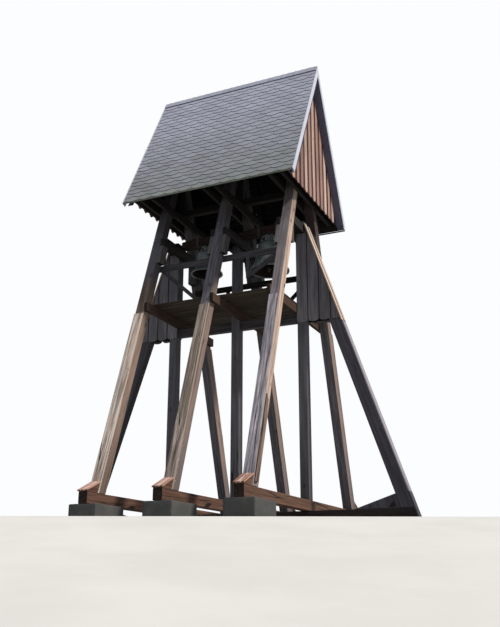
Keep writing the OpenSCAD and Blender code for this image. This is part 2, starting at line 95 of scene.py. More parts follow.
# %% Camera
camera = bpy.data.objects.new("camera", bpy.data.cameras.new("camera"))
camera.location = (7.5365, -15.9467, -1.0279)
camera.rotation_euler = (math.pi / 2 + 0.3137, -0.0015, 0.4250)
camera.data.lens = 47.82
camera.data.sensor_width = 36
camera.data.clip_end = 400
bpy.context.scene.collection.objects.link(camera)
bpy.context.scene.camera = camera
bpy.context.scene.view_settings.view_transform = "Standard"
print("camera at", [round(v, 2) for v in camera.location], "lens", camera.data.lens)

# %% [markdown]
# ## Reading and mixing nodes
# A shader is a small tree of nodes. These helpers add one node, link what is a socket and set what is a
# number, so that each effect below reads as a few lines of arithmetic.

# %% Node helpers
def paint(red, green, blue):
    """A colour given as it shows on a screen, 0 to 255, as Blender's linear value."""
    line = [v / 255 for v in (red, green, blue)]
    return (*[v / 12.92 if v < 0.04045 else ((v + 0.055) / 1.055) ** 2.4 for v in line], 1)


def add(tree, kind, inputs=(), **settings):
    """Adds a node, links each input that is a socket and sets each that is a value."""
    made = tree.nodes.new("ShaderNode" + kind)
    for key, value in settings.items():
        setattr(made, key, value)
    for key, value in dict(inputs).items():
        if isinstance(value, bpy.types.NodeSocket):
            tree.links.new(value, made.inputs[key])
        else:
            made.inputs[key].default_value = value
    return made


print("dark timber on screen", [round(v, 3) for v in paint(61, 58, 60)])


# %% Arithmetic and patterns
def reckon(tree, how, a, b=0.0, c=0.0):
    """One step of arithmetic on numbers."""
    return add(tree, "Math", {0: a, 1: b, 2: c}, operation=how).outputs[0]


def times(tree, a, b):
    """Two numbers multiplied."""
    return reckon(tree, "MULTIPLY", a, b)


def reckon_vectors(tree, how, a, b=(0, 0, 0), c=(0, 0, 0)):
    """One step of arithmetic on vectors."""
    made = add(tree, "VectorMath", {0: a, 1: b, 2: c}, operation=how)
    return made.outputs["Value" if how == "DOT_PRODUCT" else "Vector"]


def here(tree):
    """The place of the point that is being shaded, in metres."""
    return add(tree, "TexCoord").outputs["Object"]


def xyz(tree, vector):
    """A vector's three numbers."""
    return add(tree, "SeparateXYZ", {0: vector}).outputs


def span(tree, value, low, high, to=1.0):
    """0 where value is below low, to where it is above high, and smooth between."""
    made = add(tree, "MapRange", {"Value": value, "From Min": low, "From Max": high, "To Max": to},
               interpolation_type="SMOOTHSTEP")
    return made.outputs["Result"]


def speckle(tree, where, scale, detail, rough=0.55):
    """A cloud of values from 0 to 1."""
    cloud = {"Vector": where, "Scale": scale, "Detail": detail, "Roughness": rough}
    return add(tree, "TexNoise", cloud).outputs[0]


print("numbers, vectors and clouds can be reckoned")


# %% Colour helpers
def mix(tree, share, a, b, blend="MIX"):
    """Colour a with a share of colour b in it."""
    return add(tree, "Mix", {0: share, 6: a, 7: b}, data_type="RGBA", blend_type=blend).outputs[2]


def tint(tree, colour, mask, share, other):
    """A colour with a share of another laid over it where the mask says."""
    return mix(tree, times(tree, mask, share), colour, other)


def dim(tree, colour, tone):
    """A colour made darker or lighter by a number."""
    grey = add(tree, "CombineXYZ", {0: tone, 1: tone, 2: tone}).outputs[0]
    return mix(tree, 1.0, colour, grey, "MULTIPLY")


def plain(name, colour, rough, specular=0.4):
    """A material with its shader and a colour, to which masks are added."""
    made = bpy.data.materials.new(name)
    made.use_nodes = True
    shader = made.node_tree.nodes["Principled BSDF"]
    shader.inputs["Base Color"].default_value = colour
    shader.inputs["Roughness"].default_value = rough
    shader.inputs["Specular IOR Level"].default_value = specular
    return made, made.node_tree, shader


def coat(tree, shader, colour, height=None, strength=0.5, depth=0.003):
    """Joins a colour to the shader, and a bump where a height is given."""
    tree.links.new(colour, shader.inputs["Base Color"])
    if height is not None:
        bumped = add(tree, "Bump", {"Height": height, "Strength": strength, "Distance": depth})
        tree.links.new(bumped.outputs[0], shader.inputs["Normal"])


print("colours can be mixed and coated")


# %% Group helpers
VECTOR = ("Vector", (0, 0, 0))


def start_group(name, takes, gives):
    """An empty shader group with named inputs and outputs."""
    tree = bpy.data.node_groups.new(name, "ShaderNodeTree")
    for label, (kind, value) in takes.items():
        socket = tree.interface.new_socket(label, in_out="INPUT", socket_type="NodeSocket" + kind)
        socket.default_value = value
    for label, kind in gives.items():
        tree.interface.new_socket(label, in_out="OUTPUT", socket_type="NodeSocket" + kind)
    taken = tree.nodes.new("NodeGroupInput").outputs
    given = tree.nodes.new("NodeGroupOutput").inputs
    return tree, taken, given


def use(tree, group, **inputs):
    """Places a group in a material and returns its outputs."""
    return add(tree, "Group", inputs, node_tree=group).outputs


print("groups can be built")

# %% [markdown]
# ## Which way the grain runs
# Wood fibres follow a timber's length. The tower's timbers stand, lie or lean, and most come in mirrored
# pairs. The group folds the two sides onto each other, turns the leaning ones upright and moves each board
# to its own place in the pattern, so that the grain group below only has to know one direction: up. It also
# says where a face cuts across the fibres, because end grain soaks up water and is nearly black.

# %% Group: grain direction
OWN_PLACE = (7.3, 3.1, 11.7)
grain_direction, taken, given = start_group(
    "grain_direction", {"Fold": VECTOR, "Turn": VECTOR}, {"Vector": "Vector", "End": "Float"})
t = grain_direction


def upright(vector):
    """The vector as it is when the timber stands upright."""
    turn = {"Vector": vector, "Rotation": taken["Turn"]}
    return add(t, "VectorRotate", turn, rotation_type="EULER_XYZ").outputs[0]


where = here(t)
apart = reckon_vectors(t, "SUBTRACT", reckon_vectors(t, "ABSOLUTE", where), where)
where = upright(reckon_vectors(t, "MULTIPLY_ADD", apart, taken["Fold"], where))
own = add(t, "NewGeometry").outputs["Random Per Island"]
own = add(t, "CombineXYZ", {i: times(t, own, far) for i, far in enumerate(OWN_PLACE)}).outputs[0]
t.links.new(reckon_vectors(t, "ADD", where, own), given["Vector"])
facing = upright(add(t, "TexCoord").outputs["Normal"])
t.links.new(span(t, reckon(t, "ABSOLUTE", xyz(t, facing)[2]), 0.8, 0.92), given["End"])

# how a timber lies: the axes on which its two sides are folded together, and the turn that sets it upright
LIE = {
    "up": ((0, 0, 0), (0, 0, 0)),
    "ridge": ((0, 0, 0), (0, math.pi / 2, 0)),
    "across": ((0, 0, 0), (math.pi / 2, 0, 0)),
    "leg": ((0, 1, 0), (-math.atan(LEG_LEAN), 0, 0)),
    "brace": ((1, 0, 0), (0, math.atan(BRACE_LEAN), 0)),
    "slope": ((0, 1, 0), (-math.atan(1 / PITCH), 0, 0)),
    "cap": ((0, 1, 0), (-math.atan(1 / CAP_PITCH), 0, 0)),
}
print("grain runs", ", ".join(LIE))

# %% [markdown]
# ## Wood grain
# Old softwood shows fine fibres, broad light and dark streaks, drying cracks that run with the grain, and
# knots. Each is a noise pattern that is stretched along the grain. One group makes all four masks and the
# height for the bump, and every wooden finish on the tower uses it with its own strengths.

# %% Group: wood grain
wood_grain, taken, given = start_group(
    "wood_grain", {"Vector": VECTOR, "Cracks": ("Float", 0.5)},
    {"Fibre": "Float", "Streak": "Float", "Crack": "Float", "Knot": "Float", "Height": "Float"})
t = wood_grain


def stretched(tree, where, along, wander=0.0):
    """The same pattern drawn out along the grain, and bent a little where wander is set."""
    long = reckon_vectors(tree, "MULTIPLY", where, (1, 1, along))
    if not wander:
        return long
    bend = add(tree, "TexNoise", {"Vector": long, "Scale": 2.0, "Detail": 1.0}).outputs["Color"]
    return reckon_vectors(tree, "MULTIPLY_ADD", bend, (wander, wander, 0), long)


fibre = speckle(t, stretched(t, taken["Vector"], 0.03), 150, 3)
streak = speckle(t, stretched(t, taken["Vector"], 0.05, 0.02), 21, 4, 0.6)
edge = add(t, "TexVoronoi", {"Vector": stretched(t, taken["Vector"], 0.028, 0.03), "Scale": 8.0},
           feature="DISTANCE_TO_EDGE").outputs["Distance"]
open_here = speckle(t, stretched(t, taken["Vector"], 0.3), 3.3, 2)
width = span(t, reckon(t, "ADD", open_here, taken["Cracks"]), 0.85, 1.25, 0.034)
crack = span(t, reckon(t, "DIVIDE", edge, reckon(t, "ADD", width, 0.0005)), 0.35, 1.0)
crack = reckon(t, "SUBTRACT", 1, crack)
eye = add(t, "TexVoronoi", {"Vector": stretched(t, taken["Vector"], 0.55), "Scale": 2.6}).outputs["Distance"]
knot = reckon(t, "SUBTRACT", 1, span(t, eye, 0.05, 0.11))
rise = reckon(t, "MULTIPLY_ADD", fibre, 0.25, times(t, streak, 0.6))
rise = reckon(t, "SUBTRACT", rise, times(t, crack, 1.2))
masks = {"Fibre": fibre, "Streak": streak, "Crack": crack, "Knot": knot, "Height": rise}
for label, socket in masks.items():
    t.links.new(socket, given[label])
print("wood grain gives", ", ".join(masks))

# %% [markdown]
# ## Weather
# Sun and rain work on the tower from outside. Faces that look to the sunny end are bleached and lighter,
# which is partly real bleaching and partly painted sunlight: only low down or at that end, outside the
# roof's shadow, and less near the ground. Edges are rubbed pale, and neighbouring boards age differently.
# Each effect is a group that gives one mask.

# %% Groups: bleach and sunlight, worn edge, board tone
SUNWARD = (0.97, -0.1, 0.22)
bleach_and_sunlight, taken, given = start_group(
    "bleach_and_sunlight", {"Low": ("Float", 0.25), "High": ("Float", 0.8)}, {"Mask": "Float"})
t = bleach_and_sunlight
facing = reckon_vectors(t, "DOT_PRODUCT", add(t, "NewGeometry").outputs["True Normal"], SUNWARD)
patchy = speckle(t, here(t), 1.7, 3)
facing = reckon(t, "MULTIPLY_ADD", patchy, 0.25, reckon(t, "SUBTRACT", facing, 0.125))
place = xyz(t, here(t))
# painted sunlight: the mask keeps to the sunny end and to below the roof's shadow
reached = reckon(t, "MAXIMUM", span(t, place[0], 1.4, 1.6), span(t, place[2], 5.3, 4.7))
reached = reckon(t, "SUBTRACT", reached, span(t, place[2], 2.6, 0.7, 0.5))
t.links.new(times(t, span(t, facing, taken["Low"], taken["High"]), reached), given["Mask"])

worn_edge, taken, given = start_group("worn_edge", {"Reach": ("Float", 0.012)}, {"Mask": "Float"})
t = worn_edge
rounded = add(t, "Bevel", {"Radius": taken["Reach"]}, samples=4).outputs[0]
same = reckon_vectors(t, "DOT_PRODUCT", rounded, add(t, "NewGeometry").outputs["Normal"])
near = span(t, reckon(t, "SUBTRACT", 1, same), 0.02, 0.25)
t.links.new(times(t, near, span(t, speckle(t, here(t), 14, 3), 0.35, 0.6)), given["Mask"])

board_tone, taken, given = start_group("board_tone", {"Spread": ("Float", 0.3)}, {"Value": "Float"})
t = board_tone
own = add(t, "NewGeometry").outputs["Random Per Island"]
wide = speckle(t, here(t), 0.9, 2)
sway = reckon(t, "SUBTRACT", reckon(t, "MULTIPLY_ADD", own, 0.6, times(t, wide, 0.8)), 0.7)
t.links.new(reckon(t, "MULTIPLY_ADD", sway, taken["Spread"], 1.0), given["Value"])
print("weather groups:", bleach_and_sunlight.name, worn_edge.name, board_tone.name)

# %% [markdown]
# ## A wooden finish
# Tarred posts, grey cover boards and red-brown caps are the same material in different states. One
# function makes a finish from its colours and a few strengths, and keeps one copy for each direction in
# which the grain can run. The timbers deep inside, the roof's among them, are near black, which is painted
# shade, and the roof's timbers are painted grey beyond the gable walls. Height matters too: wood is darker
# near the ground, and darker under the roof as painted shade. Two of the legs are darker above the floor:
# the front left one turns a flat dark grey, and on the rear right one it is painted shade. Faces towards
# the sunny end are bleached, which is partly real bleaching and partly painted sunlight.

# %% What each wood is made of
WOODS = {
    # name: dark, light, bleached-and-sunlit, stain and crack colours, then stain, cracks,
    # bleaching with painted sunlight, bump and spread
    "tarred": ((98, 95, 103), (132, 128, 136), (154, 132, 122), (98, 88, 86), (36, 32, 33),
               0.3, 0.38, 0.95, 0.6, 0.3),
    "end_leg": ((108, 103, 109), (148, 142, 147), (228, 198, 178), (120, 108, 106), (36, 31, 32),
                0.3, 0.36, 0.95, 0.5, 0.25),
    "left_leg": ((100, 86, 80), (150, 128, 115), (160, 137, 126), (106, 90, 82), (34, 28, 28),
                 0.3, 0.4, 0.95, 0.5, 0.25),
    "rear_leg": ((98, 95, 103), (132, 128, 136), (156, 132, 121), (98, 88, 86), (36, 32, 33),
                 0.3, 0.38, 0.95, 0.6, 0.3),
    "post": ((92, 91, 97), (114, 113, 121), (100, 93, 97), (92, 86, 86), (28, 25, 28),
             0.3, 0.3, 0.8, 0.5, 0.2),
    "rail": ((88, 86, 88), (114, 111, 114), (78, 70, 69), (84, 75, 72), (30, 26, 28),
             0.3, 0.3, 0.7, 0.5, 0.2),
    "railing": ((62, 60, 64), (86, 84, 89), (92, 86, 88), (58, 54, 54), (20, 18, 20),
                0.3, 0.3, 0.6, 0.5, 0.2),
    # sheltered is a near-black wood that paints shade onto the timbers that lie in shadow
    "sheltered": ((32, 29, 30), (50, 45, 45), (24, 22, 23), (46, 36, 32), (14, 12, 13),
                  0.4, 0.2, 0.7, 0.4, 0.4),
    "stock": ((50, 37, 33), (76, 57, 50), (70, 52, 45), (44, 34, 31), (18, 13, 12),
              0.4, 0.3, 0.3, 0.5, 0.2),
    "brace": ((78, 76, 84), (98, 95, 105), (62, 58, 63), (74, 68, 71), (24, 21, 24),
              0.3, 0.3, 0.8, 0.5, 0.2),
    "dark_board": ((104, 101, 107), (130, 127, 134), (136, 127, 130), (94, 88, 89), (24, 21, 24),
                   0.3, 0.15, 0.5, 0.4, 0.35),
    "cover_pale": ((150, 136, 127), (250, 238, 228), (216, 192, 174), (204, 175, 160), (60, 47, 43),
                   0.45, 0.47, 0.7, 1.0, 0.1),
    "cover_brown": ((112, 99, 92), (200, 185, 177), (200, 176, 160), (122, 118, 104), (46, 37, 34),
                    0.4, 0.47, 0.7, 1.0, 0.1),
    "cover_grey": ((116, 113, 122), (220, 214, 226), (204, 178, 164), (118, 118, 130), (44, 38, 42),
                   0.5, 0.45, 0.7, 1.0, 0.1),
    "side_board": ((92, 76, 70), (168, 148, 136), (150, 126, 112), (74, 60, 56), (24, 18, 18),
                   0.5, 0.55, 0.6, 1.0, 0.1),
    "foot_cover": ((140, 138, 148), (180, 178, 188), (176, 170, 176), (124, 120, 126), (46, 42, 44),
                   0.3, 0.3, 0.4, 0.5, 0.2),
    "sill": ((66, 46, 38), (136, 102, 86), (152, 114, 97), (66, 48, 40), (16, 11, 10),
             0.35, 0.4, 0.5, 0.6, 0.25),
    "cap": ((140, 100, 86), (222, 176, 156), (226, 182, 162), (176, 128, 110), (60, 38, 32),
            0.4, 0.3, 0.5, 0.5, 0.4),
    "cap_pale": ((196, 162, 152), (252, 234, 226), (252, 234, 226), (222, 182, 168), (84, 56, 48),
                 0.4, 0.3, 0.5, 0.5, 0.2),
    "wing_cap": ((158, 132, 118), (224, 204, 188), (236, 218, 202), (184, 152, 134), (60, 44, 38),
                 0.3, 0.25, 0.9, 0.4, 0.2),
    "gable": ((78, 54, 49), (172, 136, 123), (190, 153, 140), (120, 82, 72), (32, 22, 20),
              0.6, 0.3, 0.8, 0.5, 0.8),
    "gable_back": ((66, 52, 58), (92, 74, 80), (92, 74, 80), (62, 44, 46), (18, 14, 15),
                   0.4, 0.2, 0.8, 0.4, 0.3),
    "gable_pale": ((120, 92, 84), (212, 182, 168), (224, 194, 181), (158, 122, 110), (38, 26, 24),
                   0.5, 0.26, 0.8, 0.5, 0.6),
    "plank": ((50, 42, 36), (80, 68, 58), (98, 80, 68), (44, 36, 32), (14, 11, 10),
              0.5, 0.3, 0.5, 0.6, 0.4),
    "tie": ((44, 34, 30), (74, 58, 51), (98, 77, 67), (44, 32, 28), (18, 13, 11), 0.4, 0.3, 0.5, 0.5, 0.2),
}
print("woods:", ", ".join(WOODS))

# %% Wooden finishes
OPEN_END = paint(100, 98, 120)
# above the floor the rear right leg's colour is painted shade, and the front left leg's is a flat dark grey
GREY_AND_SHADE_ABOVE = {"left_leg": paint(102, 99, 107), "rear_leg": paint(92, 76, 76)}
SHADE_UNDER_ROOF, OVER_FLOOR, LOW_DOWN, AT_FOOT = (5.9, 6.9), (4.9, 5.7), (3.2, 0.8), (2.2, 0.4)
finishes = {}


def wood(name, lie="up", open_ends=False):
    """The finish of that name with its grain running as lie says."""
    if (name, lie, open_ends) in finishes:
        return finishes[name, lie, open_ends]
    *colours, stained, cracks, bleach_and_sun, bump, spread = WOODS[name]
    dark, light, bleached_sunlit, stain, split = (paint(*colour) for colour in colours)
    made, t, shader = plain(f"{name}_{lie}" + "_outside" * open_ends, light, 0.9, 0.25)
    fold, turn = LIE[lie]
    run = use(t, grain_direction, Fold=fold, Turn=turn)
    place = xyz(t, here(t))
    cracks = reckon(t, "ADD", span(t, place[2], *LOW_DOWN, 0.14), cracks)
    grain = use(t, wood_grain, Vector=run["Vector"], Cracks=cracks)
    colour = mix(t, span(t, grain["Streak"], 0.37, 0.64), dark, light)
    patch = span(t, speckle(t, stretched(t, run["Vector"], 0.25), 4.0, 3), 0.45, 0.62, stained)
    colour = mix(t, patch, colour, stain)
    pale = mix(t, span(t, grain["Streak"], 0.42, 0.66, 0.7), bleached_sunlit, dark)
    # bleaching, partly painted sunlight, on faces towards the sunny end
    colour = tint(t, colour, use(t, bleach_and_sunlight)["Mask"], bleach_and_sun, pale)
    # painted shade above the floor on the rear right leg, dark grey on the front left leg
    if name in GREY_AND_SHADE_ABOVE:
        colour = mix(t, span(t, place[2], *OVER_FLOOR), colour, GREY_AND_SHADE_ABOVE[name])
    # painted shade: all wood but the gable boards darkens towards the crack colour up under the roof
    if "gable" not in name:
        colour = mix(t, span(t, place[2], *SHADE_UNDER_ROOF, 0.5), colour, split)
    if open_ends:
        beyond = span(t, reckon(t, "ABSOLUTE", place[0]), GABLE_X, GABLE_X + 0.01)
        colour = mix(t, beyond, colour, OPEN_END)
    tone = use(t, board_tone, Spread=spread)["Value"]
    tone = times(t, tone, reckon(t, "MULTIPLY_ADD", grain["Fibre"], 0.7, 0.65))
    tone = times(t, tone, reckon(t, "SUBTRACT", 1, span(t, place[2], *AT_FOOT, 0.2)))
    colour = tint(t, dim(t, colour, tone), run["End"], 0.85, split)
    colour = tint(t, colour, use(t, worn_edge)["Mask"], 0.3, light)
    colour = tint(t, colour, grain["Knot"], 0.6, split)
    coat(t, shader, mix(t, grain["Crack"], colour, split), grain["Height"], bump, 0.006)
    t.links.new(reckon(t, "MULTIPLY_ADD", grain["Streak"], -0.15, 0.92), shader.inputs["Roughness"])
    finishes[name, lie, open_ends] = made
    return made


print("the first finish is", wood("tarred", "leg").name)

# %% [markdown]
# ## The timbers
# Most timbers keep their CAD shape, which is right. Welding closes the seams of the imported mesh, and a
# small bevel breaks the sharp arrises as an axe and years of weather do.

# %% Timbers in their woods
TIMBERS = {
    ("tarred", "leg"): ["front_leg_mid", "rear_leg_left", "rear_leg_mid"],
    ("rear_leg", "leg"): ["rear_leg_right"],
    ("left_leg", "leg"): ["front_leg_left"],
    ("end_leg", "leg"): ["front_leg_right"],
    ("post", "up"): ["post_left", "post_mid", "post_right"],
    ("railing", "ridge"): ["rail_front", "platform_beams"],
    ("rail", "leg"): ["bearing_cleats"],
    ("stock", "ridge"): ["headstock_left", "headstock_right"],
    # these timbers take the near-black painted-shade finish, which stands for the shade inside the tower
    ("sheltered", "up"): ["king_posts"],
    ("sheltered", "across"): ["bearing_beams", "roof_ties", "bearing_blocks"],
    ("sheltered", "ridge"): ["wall_plates", "ridge_beam", "loft_beam", "long_sill", "rail_rear"],
    ("brace", "brace"): ["end_brace_left", "end_brace_right", "end_feet"],
    ("foot_cover", "brace"): ["end_covers"],
    ("sill", "across"): ["cross_sill_left", "cross_sill_mid", "cross_sill_right", "foot_wedges"],
    ("tie", "across"): ["tie_planks"],
}


def soften(obj, width, parts=2):
    """Joins split points and rounds the sharp edges, without touching the CAD mesh itself."""
    obj.modifiers.new("weld", "WELD").merge_threshold = 0.0001
    bevel = obj.modifiers.new("soft_edges", "BEVEL")
    bevel.width, bevel.segments, bevel.limit_method = width, parts, "ANGLE"
    bevel.angle_limit = math.radians(35)


def dress(node, finish, width=0.008):
    """Gives a CAD node its finish and soft edges."""
    nodes[node].data.materials.clear()
    nodes[node].data.materials.append(finish)
    soften(nodes[node], width)


for (name, lie), members in TIMBERS.items():
    for node in members:
        dress(node, wood(name, lie))
# inside the gables the rafters are near black, which is painted shade, and grey beyond them
for _, word in SLOPES:
    dress(f"rafters_{word}", wood("sheltered", "slope", open_ends=True))
print("timbers dressed:", sum(len(m) for m in TIMBERS.values()), "with", len(finishes), "finishes")

# %% [markdown]
# ## Building with boards
# A board is an outline that is pushed along its thickness. Many boards go into one mesh, so that a whole
# wall is one piece, and each stays a loose part of it, which is how the shader tells boards apart.

# %% Board helpers
class Shape:
    """Points and faces of a piece while it is being made."""

    def __init__(self):
        self.points, self.faces, self.finish = [], [], []

    def face(self, ring, finish=0):
        """One face, with the number of its finish."""
        self.faces.append(ring)
        self.finish.append(finish)

    def prism(self, ring, push, finish=0, side=None):
        """A closed body from a ring of points pushed along a vector."""
        start, n = len(self.points), len(ring)
        self.points += [Vector(p) for p in ring] + [Vector(p) + Vector(push) for p in ring]
        self.face([start + i for i in reversed(range(n))], finish)
        self.face([start + n + i for i in range(n)], finish)
        for i in range(n):
            j = (i + 1) % n
            self.face([start + i, start + j, start + n + j, start + n + i], finish if side is None else side)


def build(name, shape, finish, body="frame", stands_for=(), soft=0.0, smooth=0.0):
    """Makes the piece, gives it its finish and says which body carries it."""
    mesh = bpy.data.meshes.new(name)
    mesh.from_pydata(shape.points, [], shape.faces)
    for kind in finish if isinstance(finish, list) else [finish]:
        mesh.materials.append(kind)
    mesh.polygons.foreach_set("material_index", shape.finish)
    outward = bmesh.new()
    outward.from_mesh(mesh)
    bmesh.ops.recalc_face_normals(outward, faces=outward.faces)
    outward.to_mesh(mesh)
    outward.free()
    if smooth:
        mesh.shade_smooth()
        mesh.set_sharp_from_angle(angle=math.radians(smooth))
    obj = bpy.data.objects.new(name, mesh)
    bpy.context.scene.collection.objects.link(obj)
    if soft:
        soften(obj, soft, 1)
    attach(obj, body)
    if stands_for:
        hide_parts(*stands_for)
    return obj


print("boards can be built")

# %% [markdown]
# ## The shingled roof
# The roof is covered with grey felt shingles, whose tabs are rounded at the bottom. A tab is 333 mm wide
# and shows 138 mm on the slope, and each course is moved by half a tab. Every tab is modelled, tilted over
# the one below, so that its dark butt edge shows as it does on the real roof. A straight starter strip
# lies under the first course and closes the notches between its tabs.

# %% Felt finishes
grit, taken, given = start_group(
    "grit", {"Vector": VECTOR, "Size": ("Float", 0.004)}, {"Value": "Float", "Patch": "Float"})
t = grit
grain_scale = reckon(t, "DIVIDE", 1, taken["Size"])
t.links.new(speckle(t, taken["Vector"], grain_scale, 2, 0.8), given["Value"])
t.links.new(speckle(t, taken["Vector"], 2.2, 5, 0.62), given["Patch"])


def gritty(tree, size=0.004):
    """The grains and the patches of a surface in metres."""
    return use(tree, grit, Vector=here(tree), Size=size)


felt, t, shader = plain("felt_shingle", paint(150, 153, 164), 0.95, 0.2)
marks = gritty(t)
colour = mix(t, span(t, marks["Value"], 0.3, 0.7), paint(162, 166, 184), paint(203, 207, 226))
height = xyz(t, here(t))[2]
low_down = span(t, height, 9.8, 7.0)
colour = tint(t, colour, low_down, 0.8, paint(146, 151, 156))
moss = times(t, reckon(t, "MULTIPLY_ADD", low_down, 0.7, 0.1), span(t, marks["Patch"], 0.35, 0.65))
colour = tint(t, colour, moss, 0.45, paint(132, 138, 126))
colour = mix(t, span(t, height, EAVE_Z + 0.2, EAVE_Z + 0.03, 0.4), colour, paint(138, 145, 136))
coat(t, shader, dim(t, colour, use(t, board_tone, Spread=0.28)["Value"]), marks["Value"])
felt_edge = plain("felt_edge", paint(44, 44, 50), 0.9, 0.2)[0]
print("felt finishes:", felt.name, felt_edge.name)

# %% Places on a roof slope
TAB_W, TAB_DROP, TAB_T = 0.333, 0.062, 0.008
SLOPE_L = math.hypot(EAVE_Y, APEX_Z - EAVE_Z)
COURSES, TABS, FIRST_TAB, LAP, TILT = 28, 14, 0.35, 1.35, 1.06
SHOW = SLOPE_L / COURSES
STARTER = ((0, -0.0195), (0.12, -0.0195), (0.12, -0.014), (0, -0.0095))


def on_slope(side, x, up, out):
    """A point on a roof slope: along the ridge, up from the eave, and out from the surface."""
    y = EAVE_Y - up / LIFT + out * PITCH / LIFT
    return Vector((x, side * y, EAVE_Z + up * PITCH / LIFT + out / LIFT))


def tab_edge(middle, left, right):
    """The rounded lower edge of one tab, cut off at the roof's two ends."""
    xs = [middle + TAB_W / 2 * math.sin(math.radians(a)) for a in range(-90, 91, 15)]
    xs = [left] + [x for x in xs if left < x < right] + [right]
    share = [min(1.0, abs(x - middle) / (TAB_W / 2)) for x in xs]
    return [(x, TAB_DROP * (1 - math.sqrt(1 - s * s))) for x, s in zip(xs, share)]


print("a slope is", round(SLOPE_L, 3), "long and carries", COURSES, "courses")


# %% Shingles
def shingle_slope(side):
    """One slope's courses of tabs."""
    pick = random.Random(40 + side)
    shape = Shape()
    shape.prism([on_slope(side, -ROOF_X, up, out) for up, out in STARTER], (2 * ROOF_X, 0, 0))
    for course in range(COURSES):
        top = min(LAP * SHOW, SLOPE_L - course * SHOW)
        first = -ROOF_X - TAB_W * (FIRST_TAB + 0.5 * (course % 2))
        for k in range(TABS):
            middle = first + k * TAB_W
            left, right = max(middle - TAB_W / 2, -ROOF_X), min(middle + TAB_W / 2, ROOF_X)
            if right - left < 0.01:
                continue
            slip, lift = pick.uniform(-0.004, 0.003), pick.uniform(-0.0015, 0.0)
            ring = [(x, up + slip) for x, up in tab_edge(middle, left, right)] + [(right, top), (left, top)]
            place = [on_slope(side, x, course * SHOW + max(up, -course), lift - up / SHOW * TILT * TAB_T)
                     for x, up in ring]
            shape.prism(place, on_slope(side, 0, 0, -TAB_T) - on_slope(side, 0, 0, 0), 0, 1)
    return shape


for side, word in SLOPES:
    tabs = build(f"shingles_{word}", shingle_slope(side), [felt, felt_edge],
                 stands_for=[f"roof_{word}"])
print("tabs", len(tabs.data.polygons) // 15, "on one slope, each showing", round(SHOW, 3))

# %% [markdown]
# ## Roof boards
# Under the felt lie rough boards along the ridge, which show from below between the rafters.

# %% Roof boards
ROWS, BOARD_TOP, BOARD_JOINT = 26, 0.0205, 0.004
for side, word in SLOPES:
    shape = Shape()
    step = SLOPE_L / ROWS
    for row in range(ROWS):
        low, high = row * step, (row + 1) * step - BOARD_JOINT
        ring = [(low, -SLAB), (high, -SLAB), (high, -BOARD_TOP), (low, -BOARD_TOP)]
        if row == ROWS - 1:
            ring[1] = (high - SLAB / PITCH, -SLAB)
        shape.prism([on_slope(side, -ROOF_X, up, out) for up, out in ring], (2 * ROOF_X, 0, 0))
    # the boards are near black inside the gables, which is painted shade, and grey beyond them
    build(f"roof_boards_{word}", shape, wood("sheltered", "ridge", open_ends=True), soft=0.003)
print("roof boards", ROWS, "rows a side")

# %% [markdown]
# ## Boards of the gables
# The gable walls are boarded in two layers: wide boards behind, and narrower ones over their joints, whose
# pointed ends hang lower. Two of every five narrow boards are paler than the rest, so the wall looks
# patched. Each board is an outline cut off by the roof's slope, which gives a true edge under the verge.

# %% Outline of a gable board
UNDER_Z = APEX_Z - SLAB * LIFT
GABLE_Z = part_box("gable_right")[0].z
POINT, BOARDS = 0.065, 13
HALF = (UNDER_Z - GABLE_Z - POINT) / PITCH
STEP = 2 * HALF / BOARDS
UNDER_T, PROUD_T, RAFTER_D = 0.020, 0.022, 0.130
GABLE_IN = GABLE_X - 0.013
BACK_JOINT, BACK_DROP = 0.003, 0.004
PROUD_HALF, PROUD_POINT, PROUD_DROP, PALE = 0.275, 0.045, 0.005, (1, 4)


def gable_top(y, drop):
    """Height of the roof's underside over y, less a drop."""
    return UNDER_Z - drop - PITCH * abs(y)


def upright_board(y0, y1, foot, point, drop):
    """Outline of an upright board under the roof slope, with a pointed lower end."""
    tops = [(y, gable_top(y, drop)) for y in ([y1, 0, y0] if y0 < 0 < y1 else [y1, y0])]
    tips = [(y0, foot), ((y0 + y1) / 2, foot - point), (y1, foot)] if point else [(y0, foot), (y1, foot)]
    top = min(z for y, z in tops if y in (y0, y1))
    return tips + tops if top > foot + 0.01 else None


print("boards", BOARDS, "of step", round(STEP, 3), "under a roof that ends at", round(UNDER_Z, 3))


# %% Gable boards
def gable_wall(side):
    """Both layers of one gable's boards."""
    shape = Shape()
    inner = side * GABLE_IN
    outer = inner + side * UNDER_T
    foot = GABLE_Z + POINT * 0.7
    for k in range(BOARDS + 1):
        middle = -HALF + k * STEP
        y0 = max(middle - STEP / 2 + BACK_JOINT, -HALF)
        y1 = min(middle + STEP / 2 - BACK_JOINT, HALF)
        ring = upright_board(y0, y1, foot, 0, BACK_DROP)
        if ring is None:
            near, far = (y1, -HALF) if middle < 0 else (y0, HALF)
            ring = [(far, foot), (near, foot), (near, gable_top(near, BACK_DROP))]
        shape.prism([(inner, y, z) for y, z in ring], (side * UNDER_T, 0, 0), 1)
    for k in range(BOARDS):
        middle = -HALF + (k + 0.5) * STEP
        wide = STEP * PROUD_HALF
        ring = upright_board(middle - wide, middle + wide, GABLE_Z + PROUD_POINT, PROUD_POINT,
                             RAFTER_D * LIFT + PROUD_DROP)
        if ring:
            shape.prism([(outer, y, z) for y, z in ring], (side * PROUD_T, 0, 0), 2 * (k % 5 in PALE))
    return shape


kinds = [wood(name) for name in ("gable", "gable_back", "gable_pale")]
for side, word in ENDS:
    wall = build(f"gable_boards_{word}", gable_wall(side), kinds,
                 stands_for=[f"gable_{word}"], soft=0.003)
print("gable faces", len(wall.data.polygons))

# %% [markdown]
# ## Overhang boards
# Beyond each gable wall the rafters are closed from below by a thin board on each slope. It shows only
# from below, as a dark strip beside the verge, so one flat board is enough.

